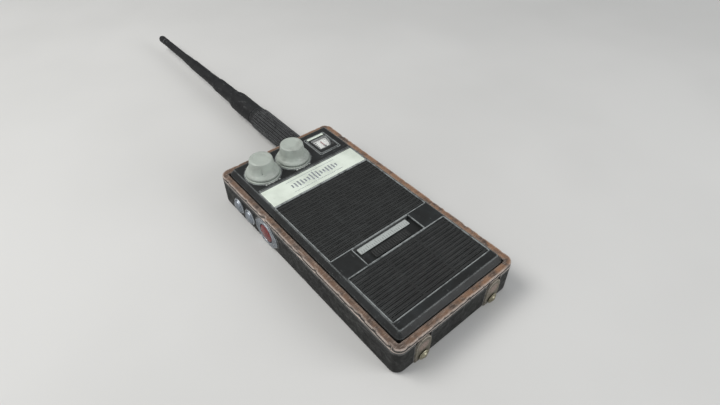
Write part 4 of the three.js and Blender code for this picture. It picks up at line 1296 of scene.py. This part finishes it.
def whip(place):
    """The whip narrows in steps and is slightly dented all over."""
    start, end = end_of("antenna_grip", place), end_of("antenna_whip", place)
    root = [(0, start - 6), (WHIP_CORE, start - 6), (WHIP_CORE, start + 0.3, 0)]
    sections = [(7.05, start + 0.3), (7.05, 77), (5.5, 83.5), (5.25, 107), (4.5, 110.8), (4.4, 117),
                (4.2, 122), (4.1, 148.5), (3.62, 152.5), (3.5, 160.5), (3.05, 166.5), (2.95, end)]
    profile = divided(filleted([*root, *sections, (2.0, end), (0, end)], 1.6), 2.0, 2.5)
    rubber = turned("antenna_whip", profile, place, ALONG_ANTENNA, sides=48)
    axis = Vector((place[0], 0, place[2]))
    for vertex in rubber.data.vertices:
        point = vertex.co / MM
        if start + DENT_LIMIT < point.y - place[1] < end - DENT_LIMIT:
            dent = noise.noise(point / 5.0) * 0.07 + noise.noise(point / 1.6) * 0.025 - 0.08
            out = Vector((point.x, 0, point.z)) - axis
            vertex.co += out.normalized() * dent * MM
    return rubber


def tip(place):
    start, end = end_of("antenna_whip", place), end_of("antenna_tip", place)
    profile = [(0, start + 0.12), (2.95, start + 0.12), (TIP_RADIUS, start + 0.5),
               (TIP_RADIUS, end - 2.6, 2.2), (2.1, end - 0.4, 1.2), (0, end)]
    return turned("antenna_tip", filleted(profile, 0.15, steps=6), place, ALONG_ANTENNA, sides=48)


def add_antenna():
    axis = middle("antenna_grip")
    place = (axis.x, span("leather_case")[1].y, axis.z)
    for part in (grip, whip, tip):
        settle(part(place), "black_rubber", f"antenna_{part.__name__}", body="antenna")


# ---- floor, kept CAD nodes

FLOOR_REACH = 1500
FLOOR_GAP = 0.05


def add_floor():
    r = FLOOR_REACH
    floor = build("floor", [(-r, -r, 0), (r, -r, 0), (r, r, 0), (-r, r, 0)], [(0, 1, 2, 3)])
    floor.location.z = cad_box[0].z - FLOOR_GAP * MM
    look = Look("floor")
    clouds = look.noise(180.0, detail=3)
    color = look.mix(look.ramp(clouds, 0.3, 0.7), (0.60, 0.60, 0.59), (0.64, 0.64, 0.63))
    look.finish(color, look.ramp(clouds, 0.3, 0.7, 0.75, 0.85), look.height(look.noise(1.2), 0.02))
    floor.data.materials.append(look.material)


def repaint_nodes():
    """Gives every CAD node the finished material of its record slot."""
    assigned = {part["node"]: part["material_slot"] for part in frame["record"]["subparts"]}
    for name, node in frame["nodes"].items():
        for slot in node.material_slots:
            slot.material = LOOKS[assigned[name]]


add_camera()
add_studio()
add_floor()
repaint_nodes()
add_case()
add_panel()
add_knobs()
add_meter()
add_channel()
add_side_controls()
add_antenna()
